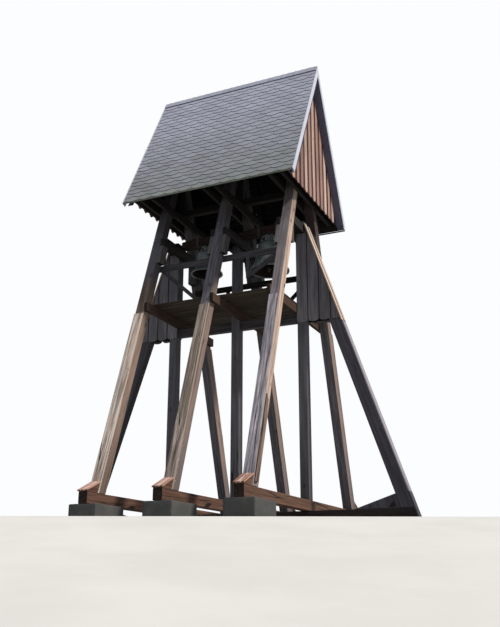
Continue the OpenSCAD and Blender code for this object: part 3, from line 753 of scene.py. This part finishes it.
# %% Overhang boards
SOFFIT_T, SOFFIT_LOW, SOFFIT_IN, SOFFIT_OUT = 0.012, 0.1, 0.031, 0.0235
outs = (-(SLAB + RAFTER_D) - HAIR, -(SLAB + RAFTER_D) - SOFFIT_T)
tops = [SLOPE_L + out * PITCH - 0.001 for out in outs]
ring = [(SOFFIT_LOW, outs[0]), (tops[0], outs[0]), (tops[1], outs[1]), (SOFFIT_LOW, outs[1])]
shape = Shape()
for end in (-1, 1):
    inner, edge = end * (GABLE_X + SOFFIT_IN), end * (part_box("verge_boards")[1].x - SOFFIT_OUT)
    for side in (-1, 1):
        shape.prism([on_slope(side, inner, up, out) for up, out in ring], (edge - inner, 0, 0))
build("overhang_boards", shape, wood("sheltered", "slope", open_ends=True), soft=0.002)
print("overhang boards", len(shape.faces) // 6)

# %% [markdown]
# ## The end enclosures
# The upper end of each end brace stands in a box of upright boards with rounded lower ends. Boards side by
# side leave open joints, so a thin dark layer behind them keeps the sky from showing through; its near-black
# colour is painted shade in the joints.

# %% Enclosure boards
WING_Z0, WING_Z1, WING_W, WING_T, SCALLOP = 4.299, 6.297, 0.251, 0.026, 0.048
WING_BACK, WING_JOINT = 0.008, 0.022


def under_brace(ring):
    """Cuts an outline off along the brace's outer face, which leans over it."""
    kept = []
    for i, (x, z) in enumerate(ring):
        x0, z0 = ring[i - 1]
        out0, out1 = x0 - brace_outer(z0), x - brace_outer(z)
        if (out0 < 0) != (out1 < 0):
            share = out0 / (out0 - out1)
            kept.append((x0 + share * (x - x0), z0 + share * (z - z0)))
        if out1 < 0:
            kept.append((x, z))
    return [p for i, p in enumerate(kept) if math.dist(p, kept[i - 1]) > 0.001]


def wing_face(shape, side, front):
    """The upright boards on one face of an enclosure, over a thin layer that closes their joints."""
    start = BAY - POST / 2
    count = math.ceil((brace_outer(WING_Z0) - start) / WING_W)
    end, y = start + count * WING_W, front * (POST / 2 + HAIR)
    back = under_brace([(start, WING_Z0), (end, WING_Z0), (end, WING_Z1), (start, WING_Z1)])
    shape.prism([(side * x, y, z) for x, z in back], (0, front * WING_BACK, 0), 1)
    for k in range(count):
        x0 = start + k * WING_W + (WING_JOINT / 2 if k else 0)
        x1 = start + (k + 1) * WING_W - WING_JOINT / 2
        turns = [math.radians(a) for a in range(-180, 1, 20)]
        middle, half = (x0 + x1) / 2, (x1 - x0) / 2
        foot = [(middle + half * math.cos(a), WING_Z0 + SCALLOP * math.sin(a)) for a in turns]
        ring = under_brace(foot + [(x1, WING_Z1), (x0, WING_Z1)])
        push = (0, front * (WING_T - WING_BACK), 0)
        shape.prism([(side * x, y + front * WING_BACK, z) for x, z in ring], push)


for side, word in ENDS:
    shape = Shape()
    wing_face(shape, side, -1)
    wing_face(shape, side, 1)
    # the back layer takes the near-black painted-shade finish
    build(f"wing_boards_{word}", shape, [wood("dark_board"), wood("sheltered")],
          stands_for=[f"wing_{word}"], soft=0.004)
print("enclosure faces", len(shape.faces))

# %% [markdown]
# ## Platform planks
# The bell ringers' floor is of heavy planks along the ridge, with open joints that show from below.

# %% Platform planks
floor_low, floor_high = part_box("platform_floor")
PLANKS, GAP, POST_GAP = 13, 0.007, 0.002
step = (floor_high.y - floor_low.y) / PLANKS
shape, pick = Shape(), random.Random(7)
for k in range(PLANKS):
    y0, y1 = floor_low.y + k * step + GAP / 2, floor_low.y + (k + 1) * step - GAP / 2
    sink = pick.uniform(0, 0.004)
    runs = [(floor_low.x, floor_high.x)]
    if k == PLANKS // 2:
        runs = [(floor_low.x, -POST / 2 - POST_GAP), (POST / 2 + POST_GAP, floor_high.x)]
    for x0, x1 in runs:
        low = floor_low.z + sink / 4
        ring = [(x0, y0, low), (x1, y0, low), (x1, y1, low), (x0, y1, low)]
        shape.prism(ring, (0, 0, floor_high.z - sink - low))
build("platform_planks", shape, wood("plank", "ridge"), stands_for=["platform_floor"], soft=0.004)
print("planks", PLANKS, "each", round(step, 3), "wide")

# %% [markdown]
# ## Planks and cleats beside the legs
# Under the bearing beams a heavy plank runs from front to back on the inner side of each frame, bolted to
# the legs, and an upright cleat as deep as the leg stands under each of its ends.

# %% Side planks and cleats
SIDE_T, SIDE_H, SIDE_Z, CLEAT_L = 0.086, 0.170, 6.190, 0.465
off = (LEG_W + SIDE_T) / 2
planks, cleats = Shape(), Shape()
for x in (-BAY + off, -off, off, BAY - off):
    y = leg_outer(SIDE_Z)
    ring = [(x - SIDE_T / 2, -y, z) for z in (SIDE_Z, SIDE_Z + SIDE_H)]
    ring += [(x + SIDE_T / 2, -y, z) for z in (SIDE_Z + SIDE_H, SIDE_Z)]
    planks.prism(ring, (0, 2 * y, 0))
    for side in (-1, 1):
        low, high = SIDE_Z - CLEAT_L, SIDE_Z - TOUCH
        ring = [(leg_outer(low), low), (leg_outer(low) - LEG_T, low)]
        ring += [(leg_outer(high) - LEG_T, high), (leg_outer(high), high)]
        cleats.prism([(x - SIDE_T / 2, side * a, b) for a, b in ring], (SIDE_T, 0, 0))
# the side planks are near black, which is painted shade
build("side_planks", planks, wood("sheltered", "across"), soft=0.006)
build("side_cleats", cleats, wood("rail", "leg"), soft=0.006)
print("side planks", 4, "cleats", 8)

# %% [markdown]
# ## Weathered boards on the legs
# The lower half of each leg carries a thick board on its outer face, against rain. These boards are the
# palest and roughest wood on the tower: furrowed and split, the left ones pale, the middle ones brown and
# the right ones grey. Bump alone would leave their edges straight, so each is a grid whose outer face is
# pushed in by long furrows. The front right leg has one more board, short and split, on its sunny side.

# %% Furrows
COVER_T, COVER_W, COVER_TRIM = 0.031, 0.229, 0.003
cover_low, cover_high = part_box("leg_covers")
ACROSS, ALONG = 22, 96
SPLIT_W, ARRIS, WOBBLE = 0.04, 0.014, 0.004
LONG_CUT, FINE_CUT, SPLIT_CUT, ARRIS_CUT = 0.0035, 0.0015, 0.005, 0.006


def furrow(u, z, seed):
    """How deep the weather has cut at share u of the width and height z."""
    long = noise.noise(Vector((u * 8 + seed, z * 0.7, seed)))
    fine = noise.noise(Vector((u * 30 + seed, z * 2.2, 3 * seed)))
    split = max(0.0, 1 - abs(noise.noise(Vector((u * 6.5 + seed, z * 0.15, 7 + seed)))) / SPLIT_W)
    edge = max(0.0, 1 - min(u, 1 - u) * COVER_W / ARRIS)
    return LONG_CUT * (0.5 + long) + FINE_CUT * fine + SPLIT_CUT * split + ARRIS_CUT * edge * edge


print("cut at the edge of a board", round(furrow(0, cover_low.z, 1), 4))


# %% The board on the sunny side
SUNNY_T = 0.034
SUNNY_EDGE = [(0.004, 0.63), (0.004, 2.27), (0.10, 2.16), (0.135, 1.8), (0.12, 1.2), (0.13, 0.63)]
face = BAY + LEG_W / 2 + 0.0004
shape = Shape()
shape.prism([(face, -(leg_outer(z) - back), z) for back, z in SUNNY_EDGE], (SUNNY_T, 0, 0))
build("leg_side_board", shape, wood("side_board", "leg"), soft=0.005)
print("side board", round(SUNNY_EDGE[1][1] - SUNNY_EDGE[0][1], 2), "long")


# %% Leg boards
def leg_board(shape, x, side, seed, finish):
    """A grid for the outer face, closed by a flat back."""
    start = len(shape.points)
    half = COVER_W / 2 - COVER_TRIM
    for j in range(ALONG + 1):
        z = cover_low.z + (cover_high.z - cover_low.z) * j / ALONG
        face = leg_outer(z) + TOUCH
        for i in range(ACROSS + 1):
            u = i / ACROSS
            wobble = WOBBLE * noise.noise(Vector((seed, z * 1.3, 5 * round(u)))) if i in (0, ACROSS) else 0
            out = face + COVER_T - max(0.0, furrow(u, z, seed))
            shape.points.append(Vector((x + (2 * u - 1) * half + wobble, side * out, z)))
        shape.points += [Vector((x - half, side * face, z)), Vector((x + half, side * face, z))]
    left, right, row = ACROSS + 1, ACROSS + 2, ACROSS + 3
    for j in range(ALONG):
        a, b = start + j * row, start + (j + 1) * row
        for i in range(ACROSS):
            shape.face([a + i, a + i + 1, b + i + 1, b + i], finish)
        shape.face([a + left, a, b, b + left], finish)
        shape.face([a + ACROSS, a + right, b + right, b + ACROSS], finish)
        shape.face([a + right, a + left, b + left, b + right], finish)
    for a in (start, start + ALONG * row):
        shape.face([a + i for i in range(ACROSS + 1)] + [a + right, a + left], finish)


shape = Shape()
for i, (x, side) in enumerate(FEET):
    leg_board(shape, x, side, 3.7 * (i // 2) + side + 2.3, i // 2)
kinds = [wood(f"cover_{hue}", "leg") for hue in ("pale", "brown", "grey")]
build("leg_boards", shape, kinds, stands_for=["leg_covers"])
print("leg boards", len(FEET), "faces", len(shape.faces))

# %% [markdown]
# ## Boards over the timbers' ends
# Small sloping roofs of three boards, two red-brown and one pale, keep rain off the sills' end grain. Two
# pale boards, a hand's width apart, cover each enclosure's sloping back.

# %% Foot caps
SILL_TOP, SILL_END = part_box("cross_sill_mid")[1].z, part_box("cross_sill_mid")[1].y
CAP_T, CAP_OUT, CAP_LIFT, CAP_JOINT = 0.029, 0.030, 0.007, 0.008


def cap_z(y):
    """Height of a foot cap's underside at distance y from the middle plane."""
    return SILL_TOP + CAP_LIFT + (SILL_END + CAP_OUT - y) * CAP_PITCH


def cap_hit(off):
    """Where the cap meets the leg board, off above its underside."""
    board = leg_outer(0) + COVER_T + TOUCH - LEG_LEAN * (cap_z(0) + off)
    return board / (1 - LEG_LEAN * CAP_PITCH) + TOUCH


shape, pick = Shape(), random.Random(3)
y1, y2, step = cap_hit(TOUCH), cap_hit(CAP_T), COVER_W / 3
for x, side in FEET:
    for k in range(3):
        short, sink = pick.uniform(0, 0.012), pick.uniform(0, 0.004)
        y0 = SILL_END + CAP_OUT - short
        ring = [(y0, cap_z(y0) + TOUCH), (y1, cap_z(y1) + TOUCH)]
        ring += [(y2, cap_z(y2) + CAP_T - sink), (y0, cap_z(y0) + CAP_T - sink)]
        left = x - COVER_W / 2 + k * step + CAP_JOINT / 2
        shape.prism([(left, side * y, z) for y, z in ring], (step - CAP_JOINT, 0, 0), k % 2)
kinds = [wood("cap", "cap"), wood("cap_pale", "cap")]
build("cap_boards", shape, kinds, stands_for=["foot_caps"], soft=0.003)
print("foot caps", len(FEET), "of 3 boards")

# %% Enclosure caps
WING_CAP_T, CAP_SPLIT, CAP_DROP = 0.028, 0.045, 0.035
shape = Shape()
cap_low, cap_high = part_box("wing_caps")
wide = (cap_high.y - cap_low.y) / 2
thick = WING_CAP_T * math.hypot(1, BRACE_LEAN)
for side in (-1, 1):
    for half, drop in ((-1, 0.0), (1, CAP_DROP)):
        z0, z1 = cap_low.z + drop, cap_high.z
        ring = [(brace_outer(z0) + TOUCH, z0), (brace_outer(z0) + thick, z0),
                (brace_outer(z1) + thick, z1), (brace_outer(z1) + TOUCH, z1)]
        shape.prism([(side * x, half * CAP_SPLIT, z) for x, z in ring], (0, half * (wide - CAP_SPLIT), 0))
build("wing_cap_boards", shape, wood("wing_cap", "brace"), stands_for=["wing_caps"], soft=0.004)
print("enclosure cap boards", len(shape.faces) // 6)

# %% [markdown]
# ## Footing stones
# The sills lie on squared blocks of dark stone, whose edges are rounded and whose faces are uneven. Each
# block is a finely cut box: its points are first pulled in to round the edges, then moved by noise.

# %% Stone finish
stone, t, shader = plain("footing_stone", paint(86, 86, 88), 0.9, 0.25)
marks = gritty(t, 0.006)
colour = mix(t, span(t, marks["Value"], 0.3, 0.75), paint(72, 72, 73), paint(96, 96, 97))
colour = mix(t, span(t, marks["Patch"], 0.45, 0.7, 0.5), colour, paint(106, 106, 98))
damp = times(t, span(t, xyz(t, here(t))[2], 0.16, 0.0), span(t, marks["Patch"], 0.3, 0.6))
colour = tint(t, colour, damp, 0.6, paint(54, 58, 50))
colour = tint(t, colour, use(t, worn_edge, Reach=0.02)["Mask"], 0.35, paint(122, 122, 120))
coat(t, shader, colour, reckon(t, "MULTIPLY_ADD", marks["Patch"], 1.5, marks["Value"]), 0.7, 0.006)
print("stone finish:", stone.name)

# %% Footing stones
PLINTH_W, PLINTH_L, PAD_W = 0.598, 0.936, 0.485


def rough_block(shape, centre, size, round_off=0.022, depth=0.007, cell=0.036):
    """A block cut into small cells, with rounded edges and an uneven surface."""
    half = [v / 2 for v in size]
    block = bmesh.new()
    bmesh.ops.create_cube(block, size=1.0)
    for axis in range(3):
        along = [e for e in block.edges if abs((e.verts[0].co - e.verts[1].co)[axis]) > 0.9]
        bmesh.ops.subdivide_edges(block, edges=along, cuts=int(size[axis] / cell), use_grid_fill=True)
    start = len(shape.points)
    block.verts.ensure_lookup_table()
    for v in block.verts:
        p = Vector([c * 2 * h for c, h in zip(v.co, half)])
        core = Vector([max(-(h - round_off), min(h - round_off, c)) for c, h in zip(p, half)])
        out = p - core
        bump = noise.fractal((p + centre) * 5, 0.9, 2.0, 3)
        if out.length > 1e-6:
            p = core + out.normalized() * (min(out.length, round_off) - depth * (0.45 + 0.5 * bump))
        if v.co.z < -0.49:
            p.z = -half[2]
        shape.points.append(p + centre)
    for f in block.faces:
        shape.face([start + v.index for v in f.verts])
    block.free()


stones = Shape()
size = (PLINTH_W, PLINTH_L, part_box("plinths")[1].z)
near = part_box("plinths")[1].y - PLINTH_L / 2
for x, side in FEET:
    rough_block(stones, Vector((x, side * near, size[2] / 2)), size)
low = (PAD_W, PAD_W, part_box("long_sill")[0].z)
last = brace_outer(low[2]) - BRACE_T - PAD_W / 4
for x in (-last, -BAY, 0, BAY, last):
    rough_block(stones, Vector((x, 0, low[2] / 2)), low, 0.015, 0.005)
build("footing_stones", stones, stone, stands_for=["plinths"], smooth=50)
print("stones", 11, "faces", len(stones.faces))

# %% [markdown]
# ## Ridge, eaves and verges
# Folded felt tabs ride over the ridge, each lapping the next, so the ridge line is a row of small steps. A
# strip of dull metal edges the eaves, and painted boards edge the gables.

# %% Ridge tabs
RIDGE_STEP, RIDGE_WING, RIDGE_T, RIDGE_OUT = 0.17, 0.128, 0.0065, 0.0004


def loft(shape, rings):
    """A closed body through rings of the same number of points."""
    start, n = len(shape.points), len(rings[0])
    for ring in rings:
        shape.points += [Vector(p) for p in ring]
    shape.face([start + i for i in reversed(range(n))])
    shape.face([start + (len(rings) - 1) * n + i for i in range(n)])
    for r in range(len(rings) - 1):
        for i in range(n):
            j = (i + 1) % n
            a = start + r * n
            shape.face([a + i, a + j, a + n + j, a + n + i])


def ridge_section(x, out):
    """The folded tab's outline at x, out above the roof's surface."""
    def fold(side, high):
        """The corner on one side, the ridge and the other corner, high above the surface."""
        near, far = [on_slope(way, x, SLOPE_L - RIDGE_WING, high) for way in (side, -side)]
        return [near, Vector((x, 0, APEX_Z + high * LIFT)), far]
    return fold(-1, out + RIDGE_T) + fold(1, out)


shape = Shape()
count = math.ceil(2 * ROOF_X / RIDGE_STEP)
for k in range(count):
    x0 = ROOF_X - k * RIDGE_STEP
    x1 = max(x0 - LAP * RIDGE_STEP, -ROOF_X)
    rise = RIDGE_T * (x0 - x1) / (LAP * RIDGE_STEP)
    loft(shape, [ridge_section(x0, RIDGE_OUT), ridge_section(x1, RIDGE_OUT + rise)])
build("ridge_tabs", shape, felt, stands_for=["ridge_cap"])
print("ridge tabs", count, "each showing", RIDGE_STEP)

# %% Eave strips and verge paint
EAVE_T, EAVE_LIP, EAVE_DROP = 0.003, 0.034, 0.006
metal, t, shader = plain("eave_metal", paint(110, 116, 104), 0.7, 0.3)
patches = span(t, gritty(t, 0.01)["Patch"], 0.35, 0.65)
coat(t, shader, mix(t, patches, paint(98, 104, 92), paint(124, 130, 116)))
for side, word in SLOPES:
    shape = Shape()
    y, z = EAVE_Y + 0.001, EAVE_Z - EAVE_DROP
    lip = [(y, z), (y + EAVE_T, z), (y + EAVE_T, z - EAVE_LIP), (y, z - EAVE_LIP)]
    shape.prism([(-ROOF_X, side * a, b) for a, b in lip], (2 * ROOF_X, 0, 0))
    shape.finish[-1] = 1
    build(f"eave_strip_{word}", shape, [metal, felt_edge])

verge, t, shader = plain("verge_paint", paint(214, 219, 236), 0.45)
patches = span(t, gritty(t, 0.02)["Patch"], 0.4, 0.7, 0.5)
colour = mix(t, patches, paint(216, 221, 238), paint(190, 194, 206))
coat(t, shader, tint(t, colour, use(t, worn_edge)["Mask"], 0.5, paint(150, 152, 160)))
dress("verge_boards", verge, 0.003)
print("eave strips", len(SLOPES), "and", verge.name)

# %% [markdown]
# ## Bells
# The two bells are cast bronze with a dark green-brown skin. A bell's shape is a profile turned about its
# axis: a thick flaring lip, a waist, a shoulder with raised rings, and six loops at the crown, by which
# iron straps hang it from the headstock.

# %% Bell finishes
def metal_finish(name, dark, light, spot, metallic, rough):
    """Old metal: two tones, spots of patina or rust, and edges rubbed bright."""
    dark, light, spot = paint(*dark), paint(*light), paint(*spot)
    made, t, shader = plain(name, dark, rough)
    marks = gritty(t, 0.02)
    colour = mix(t, span(t, marks["Patch"], 0.3, 0.7), dark, light)
    spots = span(t, speckle(t, here(t), 16, 5, 0.7), 0.5, 0.66)
    colour = tint(t, colour, spots, 0.6, spot)
    colour = tint(t, colour, use(t, worn_edge, Reach=0.006)["Mask"], 0.4, light)
    coat(t, shader, colour, marks["Value"], 0.25, 0.002)
    t.links.new(reckon(t, "MULTIPLY_ADD", spots, -metallic, metallic), shader.inputs["Metallic"])
    t.links.new(reckon(t, "MULTIPLY_ADD", spots, 0.25, rough), shader.inputs["Roughness"])
    return made


bronze = metal_finish("bell_bronze", (94, 103, 105), (138, 147, 149), (132, 148, 146), 0.4, 0.42)
# the bells' inside is near black, which is painted shade in the hollow
bell_inside_shade = metal_finish("bell_inside_shade", (34, 28, 25), (46, 38, 33), (30, 26, 24), 0.2, 0.8)
iron = metal_finish("forged_iron", (52, 50, 50), (82, 78, 76), (92, 66, 52), 0.6, 0.6)
zinc = metal_finish("zinc_heads", (150, 150, 152), (196, 196, 198), (130, 124, 118), 0.5, 0.45)
print("metals:", ", ".join(m.name for m in (bronze, bell_inside_shade, iron, zinc)))

# %% Turned and round shapes
def turned(shape, centre, profile, parts=72, inner=math.inf):
    """A closed ring of profile points (radius, height) turned about the vertical through centre."""
    start, n = len(shape.points), len(profile)
    for k in range(parts):
        cos, sin = math.cos(2 * math.pi * k / parts), math.sin(2 * math.pi * k / parts)
        shape.points += [Vector((centre.x + r * cos, centre.y + r * sin, centre.z + z)) for r, z in profile]
    for k in range(parts):
        for i in range(n):
            a, b = start + k * n, start + (k + 1) % parts * n
            j = (i + 1) % n
            shape.face([a + i, a + j, b + j, b + i], int(inner <= i < n - 2))


def circle(middle, side, over, radius, parts, turn=0.0):
    """Points round a middle, in the plane of two directions."""
    turns = [2 * math.pi * k / parts + turn for k in range(parts)]
    return [middle + radius * (side * math.cos(a) + over * math.sin(a)) for a in turns]


def rod(shape, path, radii, parts=10):
    """A round bar that follows a path of points, with a radius at each."""
    rings = []
    for i, p in enumerate(path):
        way = (path[min(i + 1, len(path) - 1)] - path[max(i - 1, 0)]).normalized()
        side = way.cross(Vector((0, 0, 1)) if abs(way.z) < 0.9 else Vector((1, 0, 0))).normalized()
        rings.append(circle(p, side, way.cross(side), radii[i], parts))
    loft(shape, rings)


print("round shapes can be made")

# %% Bells
# radius in half widths and height in bell heights: lip and waist, raised rings, crown, then the inside
PROFILE = [(1, 0), (1, 0.02), (0.985, 0.05), (0.93, 0.09), (0.86, 0.14), (0.80, 0.20), (0.75, 0.27),
           (0.70, 0.36), (0.665, 0.45), (0.635, 0.55), (0.61, 0.65), (0.592, 0.73),
           (0.612, 0.737), (0.61, 0.755), (0.585, 0.762), (0.575, 0.80), (0.594, 0.807), (0.59, 0.825),
           (0.565, 0.832), (0.55, 0.87), (0.51, 0.92), (0.43, 0.962), (0.34, 0.985), (0.25, 1), (0.03, 1),
           (0.03, 0.93), (0.2, 0.93), (0.38, 0.905), (0.46, 0.84), (0.5, 0.74), (0.545, 0.58), (0.61, 0.40),
           (0.70, 0.23), (0.80, 0.11), (0.90, 0.03), (0.94, 0)]
CROWN_HOLE = PROFILE.index((0.03, 0.93))
BELL_H, STEM_R, CLAPPER_TOP = 0.79, 0.055, 0.006
# a crown loop: how far out in diameters, how far up the crown, and its radius in diameters
LOOP = ((0.175, -0.01, 0.030), (0.195, 0.25, 0.026), (0.18, 0.55, 0.024), (0.13, 0.82, 0.024),
        (0.05, 0.93, 0.026))


for _, word in ENDS:
    body = f"bell_{word}"
    low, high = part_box(body)
    d = high.x - low.x
    h, top = BELL_H * d, high.z - low.z
    centre = Vector(((low.x + high.x) / 2, 0, low.z))
    shape = Shape()
    turned(shape, centre, [(r * d / 2, z * h) for r, z in PROFILE], inner=CROWN_HOLE)
    for k in range(6):
        a = math.radians(60 * k + 30)
        path = [(r * d * math.cos(a), r * d * math.sin(a), h + z * (top - h)) for r, z, _ in LOOP]
        rod(shape, [centre + Vector(p) for p in path], [thick * d for _, _, thick in LOOP])
    stem = [centre + Vector((0, 0, z)) for z in (h - 0.01, top)]
    rod(shape, stem, [STEM_R * d] * 2, 16)
    build(f"bronze_bell_{word}", shape, [bronze, bell_inside_shade], body, [body], smooth=38)

    shape = Shape()
    ball, foot = 0.1 * h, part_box(f"clapper_{word}")[0].z - low.z
    drop = [(CLAPPER_TOP, 0.93 * h - 0.001), (0.022 * d, 0.93 * h - 0.001), (0.024 * d, 0.88 * h),
            (0.014 * d, 0.84 * h), (0.016 * d, 0.5 * h), (0.022 * d, ball + 0.08 * d),
            (0.042 * d, ball + 0.045 * d), (0.055 * d, ball), (0.046 * d, ball - 0.035 * d),
            (0.028 * d, ball - 0.055 * d), (0.024 * d, ball - 0.075 * d), (0.031 * d, foot),
            (CLAPPER_TOP, foot)]
    turned(shape, centre, drop, 28)
    build(f"forged_clapper_{word}", shape, iron, body, [f"clapper_{word}"], smooth=38)
    dress(f"straps_{word}", iron, 0.002)
    print(word, "bell is", round(d, 3), "m wide")

# %% Strap yokes and nuts
NUT, NUT_UP, NUT_H, STUD_R = 0.02, 0.012, 0.022, 0.011
YOKE, YOKE_T, YOKE_OUT = 0.024, 0.011, 0.012
for _, word in ENDS:
    shape = Shape()
    low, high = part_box(f"straps_{word}")
    stock_low, stock_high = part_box(f"headstock_{word}")
    middle, top = (low.x + high.x) / 2, stock_high.z
    reach = (stock_high.x - stock_low.x) / 6
    for x in (middle - reach, middle + reach):
        for side in (-1, 1):
            at = Vector((x, side * (high.y - 0.005), top))
            nut = [(-NUT, -NUT), (NUT, -NUT), (NUT, NUT), (-NUT, NUT)]
            shape.prism([at + Vector((a, b, NUT_UP)) for a, b in nut], (0, 0, NUT_H))
            rod(shape, [at + Vector((0, 0, up)) for up in (0.01, 0.062)], [STUD_R] * 2, 12)
        y0, y1, z = low.y - YOKE_OUT, high.y + YOKE_OUT, top + HAIR
        ring = [(x - YOKE, y0, z), (x + YOKE, y0, z), (x + YOKE, y1, z), (x - YOKE, y1, z)]
        shape.prism(ring, (0, 0, YOKE_T))
    build(f"strap_yokes_{word}", shape, iron, f"bell_{word}", soft=0.0015)
print("yokes", 4, "with", 8, "nuts")

# %% [markdown]
# ## Nails, bolts and small things
# Pale new bolts hold the planks to the legs, and rows of nails hold the boards. They are small in the
# picture, but they are what the eye looks for when it comes close.

# %% Nails and bolts
NAIL_R, NAIL_H = 0.006, 0.003
COVER_NAILS, COVER_NAIL_X = [0.75 + k * 0.59 for k in range(7)], 0.075
SIDE_NAILS = [0.72 + 0.13 * k for k in range(7)]
LEG_BOLTS = ((-0.06, 6.44), (-0.07, 6.36), (-0.04, 6.51))
EYE_Z, EYE_BACK, EYE_PROUD = 6.27, 0.08, 0.0015
WING_NAILS, GABLE_NAILS = (4.42, 5.1, 5.8), (0.12, 1.1, 2.1)


def stud(shape, place, out, radius, height, sides=8):
    """A low head on a surface that faces out."""
    out = Vector(out).normalized()
    side = out.cross(Vector((0, 0, 1))).normalized() if abs(out.z) < 0.9 else Vector((1, 0, 0))
    ring = circle(Vector(place) - out * 0.002, side, out.cross(side), radius, sides, math.pi / sides)
    shape.prism(ring, out * (height + 0.002))


dark, pale = Shape(), Shape()
for x, side in FEET:
    facing = (0, side, LEG_LEAN)
    for z in COVER_NAILS:
        for dx in (-COVER_NAIL_X, COVER_NAIL_X):
            stud(dark, (x + dx, side * (leg_outer(z) + COVER_T - 0.003), z), facing, 0.007, NAIL_H)
    for dx, z in LEG_BOLTS:
        stud(pale, (x + dx, side * leg_outer(z), z), facing, 0.011, 0.008)
    eye = Vector((x + LEG_W / 2, side * (leg_outer(EYE_Z) - EYE_BACK), EYE_Z))
    stud(dark, eye, (1, 0, 0), 0.036, EYE_PROUD, 12)
    stud(pale, eye + Vector((EYE_PROUD, 0, 0)), (1, 0, 0), 0.013, 0.012, 6)
    for z in SIDE_NAILS:
        stud(pale, (x + LEG_W / 2, side * (leg_outer(z) - 0.03), z), (1, 0, 0), 0.009, 0.004)
for side in (-1, 1):
    for front in (-1, 1):
        for k in range(4):
            x = BAY - POST / 2 + (k + 0.5) * WING_W
            for z in WING_NAILS:
                if x < brace_outer(z) - 0.05:
                    for dx in (-0.06, 0.06):
                        place = (side * (x + dx), front * (POST / 2 + WING_T), z)
                        stud(dark, place, (0, front, 0), NAIL_R, NAIL_H)
    for k in range(BOARDS):
        y = -HALF + (k + 0.5) * STEP
        for z in [GABLE_Z + up for up in GABLE_NAILS]:
            if z < gable_top(abs(y) + 0.05, RAFTER_D * LIFT) - 0.05:
                place = (side * (GABLE_IN + UNDER_T + PROUD_T), y, z)
                stud(dark, place, (side, 0, 0), NAIL_R, NAIL_H)
build("nails_and_bolts", dark, iron)
build("pale_bolts", pale, zinc)
print("heads", (len(dark.faces) + len(pale.faces)) // 10)

# %% [markdown]
# ## Floor and light
# A plain pale floor carries the tower. It is level under it and falls away towards the camera, as the
# knoll does. It throws back less light than a floor so pale would, as turf does. One soft lamp stands for
# the sun at the tower's right end, and the pale sky fills the rest.

# %% Floor
CREST, FALL, EASE, FAR = 3.72, 0.187, 1.0, 15
TOWARDS, ASIDE = Vector((0.412, -0.911)), Vector((0.911, 0.412))


def ground(x, y):
    """Height of the floor: level, then falling away beyond the crest."""
    past = Vector((x, y)) @ TOWARDS - CREST
    if past <= 0:
        return 0.0
    if past < EASE:
        return -FALL * past * past / (2 * EASE)
    return -FALL * (min(past, FAR) - EASE / 2)


lines = [-60, -30, -15, -8, -4] + [v * 0.1 - 2 for v in range(0, 190)] + [18, 25, 40, 80]
mesh = bpy.data.meshes.new("pale_floor")
spots = [TOWARDS * s + ASIDE * w for s in lines for w in (-80, -20, 0, 20, 80)]
points = [(p.x, p.y, ground(p.x, p.y)) for p in spots]
mesh.from_pydata(points, [], [(5 * i + j, 5 * i + 5 + j, 5 * i + 6 + j, 5 * i + j + 1)
                              for i in range(len(lines) - 1) for j in range(4)])
mesh.shade_smooth()
floor_paint, t, shader = plain("pale_floor", paint(226, 226, 224), 0.9, 0.1)
clouds = span(t, speckle(t, here(t), 0.6, 3), 0.3, 0.7)
seen = mix(t, clouds, paint(224, 224, 222), paint(232, 232, 230))
coat(t, shader, mix(t, add(t, "LightPath").outputs["Is Camera Ray"], paint(176, 178, 172), seen))
mesh.materials.append(floor_paint)
floor = bpy.data.objects.new("pale_floor", mesh)
bpy.context.scene.collection.objects.link(floor)
print("floor falls to", round(min(p[2] for p in points), 2))

# %% Sky and sun
world = bpy.data.worlds.new("pale_sky")
bpy.context.scene.world = world
world.use_nodes = True
t = world.node_tree
t.nodes.clear()
path = add(t, "LightPath").outputs
seen = reckon(t, "MAXIMUM", path["Is Glossy Ray"], path["Is Transmission Ray"])
seen = reckon(t, "MAXIMUM", path["Is Camera Ray"], seen)
fill = add(t, "Background", {"Color": paint(225, 236, 255), "Strength": 0.27}).outputs[0]
shown = add(t, "Background", {"Color": paint(252, 253, 255), "Strength": 1.0}).outputs[0]
both = add(t, "MixShader", {0: seen, 1: fill, 2: shown}).outputs[0]
t.links.new(both, add(t, "OutputWorld").inputs["Surface"])

sun = bpy.data.objects.new("sun", bpy.data.lights.new("sun", "SUN"))
sun.data.energy = 3.3
sun.data.angle = math.radians(5)
sun.data.color = paint(255, 247, 236)[:3]
sun.rotation_euler = Vector((0.643, -0.05, 0.766)).to_track_quat("Z", "Y").to_euler()
bpy.context.scene.collection.objects.link(sun)
print("sky and sun set, the sun at strength", round(sun.data.energy, 2))
